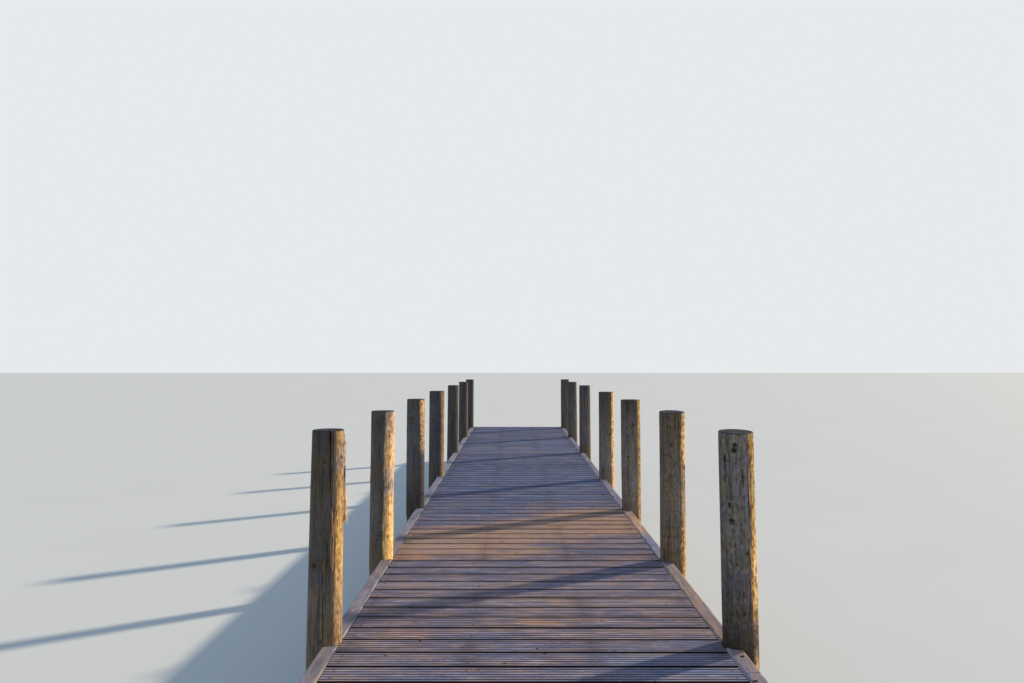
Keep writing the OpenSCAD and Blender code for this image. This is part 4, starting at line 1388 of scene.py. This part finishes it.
# %% [markdown]
# ## Sawn timbers
# Kerbs, bearers, joists and fascias are all sawn timbers. One helper sweeps a
# rectangle with soft edges along a line. The outline has as many points along
# its bottom as along its top, so that an end can be cut to a curve and still
# be closed by upright strips: the kerbs are scribed round the logs that way.

# %% Outline of a sawn timber
end_edge = 0.0012


def timber_outline(wide, deep, soft, across, down, lip):
    """Points round a rectangle with soft edges: the bottom, right, top and left."""
    half, rise = wide / 2, deep / 2
    inner = np.linspace(-half + soft + 0.002, half - soft - 0.002, across)
    inner = [-half + soft, *inner, half - soft]
    chain = [(-half, soft), (-half + 0.3 * soft, 0.3 * soft)] + [(v, 0.0) for v in inner]
    chain += [(half - 0.3 * soft, 0.3 * soft), (half, soft)]
    middles = np.linspace(-rise + soft, rise - soft, down + 2)[1:-1]
    if lip:
        middles = np.append(middles, rise - soft - lip)
    bottom = [(v, -rise + up) for v, up in chain]
    top = [(v, rise - up) for v, up in reversed(chain)]
    outline = bottom + [(half, w) for w in middles] + top + [(-half, w) for w in middles[::-1]]
    return np.array(outline), len(chain), len(middles)


def timber_faces(rows, outline_size, chain, down):
    """Faces of a swept timber, its ends closed by upright strips."""
    faces = tube_faces(rows, outline_size)
    for row, forward in ((0, False), (rows - 1, True)):
        start = row * outline_size
        for k in range(chain - 1):
            right = [start + chain + m for m in range(down)] if k == chain - 2 else []
            left = [start + 2 * chain + down + m for m in range(down)] if k == 0 else []
            top_left = start + chain + down + (chain - 1 - k)
            strip = [start + k, start + k + 1, *right, top_left - 1, top_left, *left]
            faces.append(strip if forward else strip[::-1])
    return faces


# %% A sawn timber between two places
def sawn_timber(start, end, wide, deep, seed, soft=0.004, spacing=0.05, across=4, down=3,
                low_end=None, high_end=None, rough=0.0005, wear=0.0012, lip=0.0):
    """A timber along a level line; an end may be a function of the place across it."""
    start, end = np.array(start, float), np.array(end, float)
    length = np.linalg.norm(end - start)
    along = (end - start) / length
    up = np.array([0.0, 0.0, 1.0])
    aside = np.cross(up, along)
    outline, chain, down = timber_outline(wide, deep, soft, across, down, lip)
    rows = max(6, int(length / spacing) + 3)
    share = np.concatenate([[0], np.linspace(end_edge / length, 1 - end_edge / length, rows - 2), [1]])
    inset = np.ones(rows)
    inset[0], inset[-1] = 1 - end_edge / wide, 1 - end_edge / wide
    v, w = outline.T
    first = low_end(v) if low_end else 0 * v
    last = high_end(v) if high_end else 0 * v + length
    u = (first * (1 - share[:, None]) + last * share[:, None]).ravel()
    v, w = [(side * inset[:, None]).ravel() for side in (v, w)]
    spot = np.stack([u, v, w], axis=1) + 2.3 * seed
    rounded = (np.abs(v) > wide / 2 - 1.01 * soft) & (np.abs(w) > deep / 2 - 1.01 * soft)
    lost = wear * rounded * soft_step(noise(spot, (0.07, 0.03, 0.03), seed), -0.3, 0.9)
    worn_v, worn_w = [way + rough * noise(spot, (0.3, 0.05, 0.05), seed + number) - np.sign(way) * lost
                      for number, way in ((1, v), (2, w))]
    points = start + u[:, None] * along + worn_v[:, None] * aside + worn_w[:, None] * up
    offset = np.array([4.4 * seed, 0.031 * (seed % 5), 0.07 + 0.02 * (seed % 3)])
    marks = {
        "fibre": np.stack([u, v, w], axis=1) + offset, "worn": rounded * (w > 0) * 1.0,
        "end": np.repeat(inset < 1, len(outline)) * 1.0, "side": (w < -0.3 * deep) * 1.0,
    }
    return {"points": points, "faces": timber_faces(rows, len(outline), chain, down), "marks": marks}


# %% [markdown]
# ## Kerbs
# The kerbs lie along both sides between the logs, a little higher than the
# deck. Each length is cut round the logs at its ends with an even gap. Bolts
# hold them down to the bearers, and their heads sit in round counterbores. A
# Boolean modifier drills those, as on the real timber.

# %% Ends of the kerb lengths
scribe_gap, kerb_tip, joint_gap, kerb_joint = 0.003, 0.040, 0.004, 0.317
KERB_SOFT = {"left": 0.0035, "right": 0.006}
kerb_deep = kerb_top - kerb_under
kerb_middle = kerb_inner + kerb_width / 2


def scribed(log):
    """How far a kerb end stays from a log's centre, for each place across the kerb."""
    reach = log["radius"] + scribe_gap

    def distance(aside):
        off = log["side"] * kerb_middle - aside - log["x"]
        return np.maximum(np.sqrt(np.maximum(reach ** 2 - off ** 2, 0)), kerb_tip)

    return distance


def kerb_parts(side):
    """All lengths of one kerb, from its near end to its far end."""
    row = [logs[side, pair] for pair in PAIRS]
    x, z = SIDES[side] * kerb_middle, kerb_top - kerb_deep / 2
    cuts = [(near_end, None)]
    first_seed = 0
    if side == "right":
        joint = row[0]["y"] - kerb_joint
        cuts += [(joint - joint_gap / 2, None), (joint + joint_gap / 2, None)]
        first_seed = 31
    for log in row:
        cuts += [(log["y"], log), (log["y"], log)]
    cuts.append((far_end, None))
    parts = []
    for k in range(0, len(cuts), 2):
        (y0, from_log), (y1, to_log) = cuts[k], cuts[k + 1]
        low = scribed(from_log) if from_log else None
        high = (lambda v, far=scribed(to_log), whole=y1 - y0: whole - far(v)) if to_log else None
        parts.append(sawn_timber(
            (x, y0, z), (x, y1, z), kerb_width, kerb_deep, seed=k + first_seed, soft=KERB_SOFT[side],
            spacing=0.03, across=8, low_end=low, high_end=high, rough=0.0006, wear=0.0014, lip=0.003))
    return parts


# %% Counterbores in the right kerb
counterbore_wide, counterbore_deep = 0.024, 0.014
# Their x, and how far before the first right log they are.
COUNTERBORES = [(x, logs["right", 1]["y"] - before) for x, before in ((0.974, 0.149), (0.948, 0.393))]
KERB_FIBRE_START = np.array([13.2, 0.04, 0.09])


def kerb_marks(points):
    """Marks of a kerb from the places of its points alone."""
    x, y, z = points.T
    edge = KERB_SOFT["right"] + 0.0005
    worn = (z > kerb_top - edge) & (np.abs(np.abs(x) - kerb_middle) > kerb_width / 2 - edge)
    return {
        "fibre": np.stack([y, x, z], axis=1) + KERB_FIBRE_START,
        "worn": worn * 1.0, "end": 0 * x, "side": (z < deck_top - 0.05) * 1.0,
    }


def drill(part):
    """Drills the counterbores into a kerb length, and works out its marks again."""
    profile = [(counterbore_wide / 2, 0.0), (counterbore_wide / 2, counterbore_deep + 0.02)]
    cutter = join([turned(profile, 28, place=(x, y, kerb_top - counterbore_deep)) for x, y in COUNTERBORES])
    undrilled, drills = [add_object(name, new_mesh(name, shape["points"].tolist(), shape["faces"]))
                         for name, shape in (("undrilled", part), ("drills", cutter))]
    cut = undrilled.modifiers.new("drill", "BOOLEAN")
    cut.operation, cut.object, cut.solver = "DIFFERENCE", drills, "EXACT"
    seen = undrilled.evaluated_get(bpy.context.evaluated_depsgraph_get())
    drilled = seen.to_mesh()
    points = np.array([corner.co for corner in drilled.vertices])
    faces = [list(face.vertices) for face in drilled.polygons]
    seen.to_mesh_clear()
    for helper in (undrilled, drills):
        bpy.data.objects.remove(helper)
    return {"points": points, "faces": faces, "marks": kerb_marks(points)}


# %% Tint and wear of a kerb
# The tint of each kerb at places along it: y, then red, green and blue. The blue tints paint shade,
# and the warm bright ones paint sunlight.
KERB_TINTS_AND_PAINTED_LIGHT = {
    "left": ((-5.6, 0.94, 1.0, 1.22), (-5.2, 0.86, 1.0, 1.3), (-4.8, 0.86, 1.06, 1.48),
             (-4.4, 0.86, 0.95, 1.2), (-3.9, 0.92, 0.90, 1.05), (-3.4, 0.86, 0.98, 1.35),
             (-1.5, 0.70, 0.92, 1.34), (0.5, 0.84, 1.06, 1.52)),
    "right": ((-5.7, 1.20, 1.24, 1.62), (-5.4, 1.45, 1.33, 1.30), (-5.1, 1.20, 1.07, 1.10),
              (-4.8, 1.34, 1.20, 1.18), (-4.3, 1.40, 1.28, 1.26), (-3.8, 1.10, 1.28, 1.85),
              (-3.4, 1.10, 1.32, 1.95), (-3.0, 2.25, 1.62, 1.18), (-2.6, 2.15, 1.58, 1.18),
              (-2.1, 0.98, 1.12, 1.50), (0.0, 0.90, 1.10, 1.56)),
}
KERB_DISH = {"left": 0.0065, "right": 0.0080}
# How strongly the rubbed inner and outer edges are painted pale, as wear and as a painted highlight where
# they face the lamp.
INNER_WEAR_AND_HIGHLIGHT, OUTER_WEAR_AND_HIGHLIGHT = {"left": 1.7, "right": 0.3}, {"left": 0.3, "right": 2.0}


def tint_kerb(part, side):
    """Adds a kerb's own tint with painted light in it, painted light and shade on its inner face, and the
    painted shade of its counterbores.
    """
    points, marks = part["points"], part["marks"]
    out = np.abs(points[:, 0])
    inner, face = out < kerb_middle, out < kerb_inner + 0.002
    # Painted light: the right kerb's inner face, which lies in shade, is painted paler.
    inner_face_painted_light = 1 + 0.6 * face[:, None] * (side == "right")
    marks["tint"] = np.stack(read_off(KERB_TINTS_AND_PAINTED_LIGHT[side], points[:, 1]), axis=1) * inner_face_painted_light
    patchy = np.clip(0.75 + 0.8 * noise(points, (0.05, 0.035, 0.05), 77), 0.15, 1.2)
    broken = soft_step(noise(points, (0.06, 0.07, 0.06), 79), -0.25, 0.20)
    marks["worn"] *= patchy * np.where(inner, INNER_WEAR_AND_HIGHLIGHT[side] * broken, OUTER_WEAR_AND_HIGHLIGHT[side])
    # Painted shade: low on the left kerb's inner face, and in dashes over it.
    low = points[:, 2] < kerb_top - 0.0075
    marks["shade"] = (side == "left") * np.maximum(inner * low * 0.8, face * (0.85 - 0.6 * broken))
    # The insides of the counterbores, painted dark as shade.
    sunk = np.zeros(len(points))
    for x, y in COUNTERBORES:
        inside = np.hypot(points[:, 0] - x, points[:, 1] - y) < counterbore_wide / 2 + 0.0005
        sunk[inside & (points[:, 2] < kerb_top - counterbore_deep + 0.002)] = 1
    marks["sunk"] = sunk


def dish_at(x, side):
    """How much lower than its outer edge a kerb's top lies at a place across it."""
    return KERB_DISH[side] * (1 - np.clip((np.abs(x) - kerb_inner) / kerb_width, 0, 1))


def dish_kerb(part, side):
    """Lowers the top of a kerb towards the deck, where use has worn it."""
    points, sunk = part["points"], part["marks"]["sunk"]
    near_top = soft_step(points[:, 2], kerb_top - 0.0125, kerb_top - 0.0095)
    points[:, 2] -= dish_at(points[:, 0], side) * np.maximum(near_top, sunk)

# %% Make the kerbs
for side in SIDES:
    lengths = kerb_parts(side)
    if side == "right":
        lengths[:2] = [drill(length) for length in lengths[:2]]
    for length in lengths:
        tint_kerb(length, side)
        dish_kerb(length, side)
    make_piece(f"kerb_timbers_{side}", join(lengths), kerb_finish, "kerb_timber", f"kerb_{side}")

# %% [markdown]
# ## Bearers, joists and fascias
# Below the deck a pair of bearers grips each pair of logs, and the joists lie
# across the bearers in lengths that meet over them. All of them are rough
# sawn, so their faces get a little unevenness and their edges a little wear.

# %% Make the bearers
bearer_deep = bearer_top - bearer_under
for pair, lines in pairs.items():
    thick, reach = lines["outer"] - lines["inner"], lines["reach"] * lines["along"]
    parts = []
    for way in (-1, 1):
        off = lines["centre"] + way * (lines["inner"] + thick / 2) * lines["normal"]
        parts.append(sawn_timber(off - reach, off + reach, thick, bearer_deep,
                                 seed=60 + 2 * pair + way, down=5, rough=0.0004))
    make_piece(f"bearers_{pair}", join(parts), frame_finish, "frame_timber", f"cross_bearers_{pair}")

# %% Make the joists
for place in ("outer_left", "inner_left", "inner_right", "outer_right"):
    node = f"joist_{place}"
    low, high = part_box(node)
    ends = np.unique(np.round(corners(node)[:, 1], 4)).reshape(-1, 2)
    x, z = (low.x + high.x) / 2, (low.z + high.z) / 2
    parts = [sawn_timber((x, y0, z), (x, y1, z), high.x - low.x, high.z - low.z,
                         seed=int(100 + 40 * x + 7 * k), spacing=0.1)
             for k, (y0, y1) in enumerate(ends)]
    print(node, "lengths", np.diff(ends).round(3).ravel())
    make_piece(f"joists_{place}", join(parts), frame_finish, "frame_timber", node)

# %% Make the fascias
for place in ("shore", "lake"):
    low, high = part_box(f"fascia_{place}")
    y, z = (low.y + high.y) / 2, (low.z + high.z) / 2
    part = sawn_timber((low.x, y, z), (high.x, y, z), high.y - low.y, high.z - low.z,
                       seed=140 + len(place), rough=0.0003)
    make_piece(f"fascia_board_{place}", part, frame_finish, "frame_timber", f"fascia_{place}")

# %% [markdown]
# ## Bolts
# Two long bolts go through the bearers and each log, one above the other. On
# both outer faces there is a square plate washer, a nut and a bit of thread.
# The two bolts in the kerb sit down in their counterbores.

# %% Shapes of a bolt
PLATE = [(0.0395, 0.0), (0.0395, 0.0046), (0.0380, 0.006), (0.013, 0.006)]
NUT = [(0.0132, 0.0), (0.0150, 0.0015), (0.0150, 0.0115), (0.0132, 0.013), (0.0075, 0.013)]
THREAD = [(0.0078, 0.0)] + [(0.0078 - 0.0009 * (turn % 2), 0.013 + 0.0012 * turn) for turn in range(9)]
THREAD += [(0.0062, 0.0245), (0.002, 0.0248)]


def bolt_end(place, outward, roll):
    """A plate washer, a nut and the bolt's end, standing out from a timber's face."""
    place = place - 0.0008 * outward
    on_plate = place + PLATE[-1][1] * outward
    return [turned(PLATE, 4, outward, place), turned(NUT, 6, outward, on_plate, roll),
            turned(THREAD, 12, outward, on_plate, math.pi / 4)]

# %% Make the bolts
BOLT_PLACES = ((0.06, 0.03), (0.14, -0.03))
for side in SIDES:
    ends = []
    for pair, lines in pairs.items():
        log = logs[side, pair]
        for number, (rise, aside) in enumerate(BOLT_PLACES):
            for way in (-1, 1):
                place = np.array([log["x"], log["y"], bearer_under + rise]) + aside * lines["along"]
                place += way * lines["outer"] * lines["normal"]
                ends += bolt_end(place, way * lines["normal"], 0.3 * pair + number)
    make_piece(f"bearer_bolts_{side}", join(ends), steel_finish, "fixing_steel")

HEAD = [(0.0092, 0.0), (0.0098, 0.0008), (0.0098, 0.0022), (0.0072, 0.0022), (0.0076, 0.003),
        (0.0076, 0.0072), (0.0066, 0.0080)]
heads = [turned(HEAD, 12, place=(x, y, kerb_top - dish_at(x, "right") - counterbore_deep - 0.0004))
         for x, y in COUNTERBORES]
make_piece("kerb_bolts", join(heads), steel_finish, "fixing_steel")

# %% [markdown]
# ## Torn fibres on the first logs
# On the right side of the nearest left log a strip of the outer wood has
# lifted: it bulges near the top, and below the bulge it hangs as a sliver with
# a jagged end. Splinters stand out of a crack lower down, and on the nearest
# right log thin ones lie along the edge of its painted sunlit side. Each is a slim
# closed strip whose width, thickness and distance from the log change along it.

# %% A torn strip
STRIP = [(-1, 0), (-0.7, 0.7), (0, 1), (0.7, 0.7), (1, 0), (0.7, -0.7), (0, -1), (-0.7, -0.7)]
FLAP = [(-1, -1), (-0.55, 0.1), (0, 0.7), (0.55, 1), (1, 0.75), (1.05, -0.2), (0.6, -1), (0, -1)]


def torn_strip(log, turn, high, low, wide, thick, off, fresh, seed, sunny=1.0, section=STRIP, lean=0,
               painted_sun_gold=0.3, painted_sun_level=0.9, hollow=lambda t: 0 * t):
    """A closed strip along a log; wide, thick, off, fresh and hollow follow the share from its top."""
    rows, around = max(14, int((high - low) / 0.006)), len(section)
    share = np.linspace(0, 1, rows)
    z = deck_top + high + (low - high) * share
    spot = heights_only(z)
    middle_turn = math.radians(turn) + 0.02 * noise(spot, 0.09, seed)
    ragged = 1 + 0.18 * noise(spot, 0.018, seed + 1)
    stand = radius_at(log, z) + off(share)
    lean_cos, lean_sin = math.cos(math.radians(lean)), math.sin(math.radians(lean))
    points, turns = [], []
    for aside, out in reversed(section):
        aside, out = aside * wide(share) * ragged / 2, out * thick(share) / 2
        angle = middle_turn + (aside * lean_cos + out * lean_sin) / stand
        reach = stand + out * lean_cos - aside * lean_sin
        points.append(np.stack([*on_log(log, z, reach, angle), z], axis=1))
        turns.append(angle)
    points, turns = np.stack(points, axis=1).reshape(-1, 3), np.stack(turns, axis=1).ravel()
    whole = len(points)
    grain = np.stack([points[:, 2], *off_axis(np.repeat(radius_at(log, z), around), turns)], axis=1)
    marks = {"fibre": grain + fibre_start(log), "from_knot": np.ones((whole, 3)),
             "tint": np.ones((whole, 3)), "deep": np.repeat(0.75 * hollow(share), around),
             "fresh": np.repeat(fresh(share), around)}
    for name, value in (("end", 0.0), ("knot", FAR), ("sunny", sunny), ("painted_sun_gold", painted_sun_gold), ("painted_sun_level", painted_sun_level),
                        ("blotched", 0.35), ("painted_sunlight", 1.0), ("painted_half_shade", 0.0), ("stain_and_painted_shadow", 0.0)):
        marks[name] = np.full(whole, value)
    return {"points": points, "faces": closed_tube(rows, around), "marks": marks}


def pointed(share, full, tip=0.15):
    """A width that runs out to a point at both ends."""
    return full * (0.08 + 0.92 * soft_step(share, 0, tip) * (1 - soft_step(share, 1 - tip, 1)))


# %% Make the torn strips
def splinter(log, turn, high, low, wide, fresh, seed, off=0.001, sunny=1.0, lean=48):
    """A thin splinter that lies along a log and stands off it a little at its lower end."""
    return torn_strip(log, turn, high, low, wide=lambda t: pointed(t, wide),
                      thick=lambda t: pointed(t, 0.0035), off=lambda t: off + 0.003 * t,
                      fresh=lambda t: fresh + 0 * t, seed=seed, sunny=sunny, lean=lean, painted_sun_gold=0.8, painted_sun_level=1.15)


def flap_thick(t):
    """The flap is thin at the very top, springs out below it and thins out again."""
    sprung = 0.007 * soft_step(t, 0.19, 0.26) - 0.004 * soft_step(t, 0.3, 0.9)
    return 0.0055 + sprung - 0.002 * soft_step(t, 0.9, 1)


def barb(turn, low, off, off_change, seed):
    """One of the two short torn points at the end of the sliver."""
    return torn_strip(left_log, turn, 0.612, low, wide=lambda t: 0.013 * (1 - 0.6 * t),
                      thick=lambda t: 0.012 * (1 - 0.6 * t), off=lambda t: off + off_change * t,
                      fresh=lambda t: 0.8 + 0.2 * soft_step(t, 0.1, 0.4), seed=seed, lean=60)


left_log, right_log = logs["left", 1], logs["right", 1]
torn_left = [
    torn_strip(left_log, 92, 1.015, 0.858, wide=lambda t: 0.030 + 0.008 * soft_step(t, 0.1, 0.5),
               thick=flap_thick, off=lambda t: flap_thick(t) / 2 - 0.001,
               fresh=lambda t: 0 * t, seed=3, section=FLAP, painted_sun_gold=-0.3, painted_sun_level=1.05),
    # Its upper part is painted dark as shade, through hollow.
    torn_strip(left_log, 97, 0.863, 0.592,
               wide=lambda t: 0.006 + 0.004 * t, thick=lambda t: 0.0080 + 0.0130 * soft_step(t, 0.2, 0.8),
               off=lambda t: 0.0050 + 0.0050 * soft_step(t, 0.2, 0.8),
               fresh=lambda t: 0.25 + 0.30 * soft_step(t, 0.35, 0.85), seed=4, lean=58,
               hollow=lambda t: 1 - soft_step(t, 0.02, 0.5)),
    barb(99, 0.572, 0.0145, 0.0035, 5), barb(94, 0.576, 0.0050, -0.001, 6),
]
# Splinters: turn, upper and lower end over the deck, width, how fresh, seed, and what differs.
torn_left += [splinter(left_log, *row) for row in (
    (33.0, 0.66, 0.52, 0.0036, 0.50, 7), (38.0, 0.64, 0.44, 0.0034, 0.50, 20, 0.0015),
    (44.0, 0.67, 0.50, 0.0032, 0.45, 8, 0.001, 1.0, 42), (31.0, 0.54, 0.37, 0.0036, 0.52, 9, 0.0015),
    (36.5, 0.50, 0.350, 0.0042, 0.60, 10, 0.003), (41.0, 0.47, 0.40, 0.0030, 0.50, 21, 0.001, 1.0, 42),
    (8, 0.435, 0.36, 0.0032, 0.40, 11))]
torn_right = [splinter(right_log, *row) for row in (
    (26, 0.845, 0.60, 0.0070, 0.30, 12, 0.0, 0.15, 35), (26, 0.50, 0.385, 0.0065, 0.50, 13, 0.001, 0.4, 22),
    (24, 0.345, 0.275, 0.0065, 0.50, 14, 0.002, 0.4, 22), (33, 0.70, 0.60, 0.0050, 0.30, 15, 0.001, 1.0, 22),
    (28, 0.26, 0.14, 0.0055, 0.30, 16, 0.001, 0.3, 22))]
make_piece("log_left_1_torn_fibres", join(torn_left), log_finish, "pile_log")
make_piece("log_right_1_splinters", join(torn_right), log_finish, "pile_log")
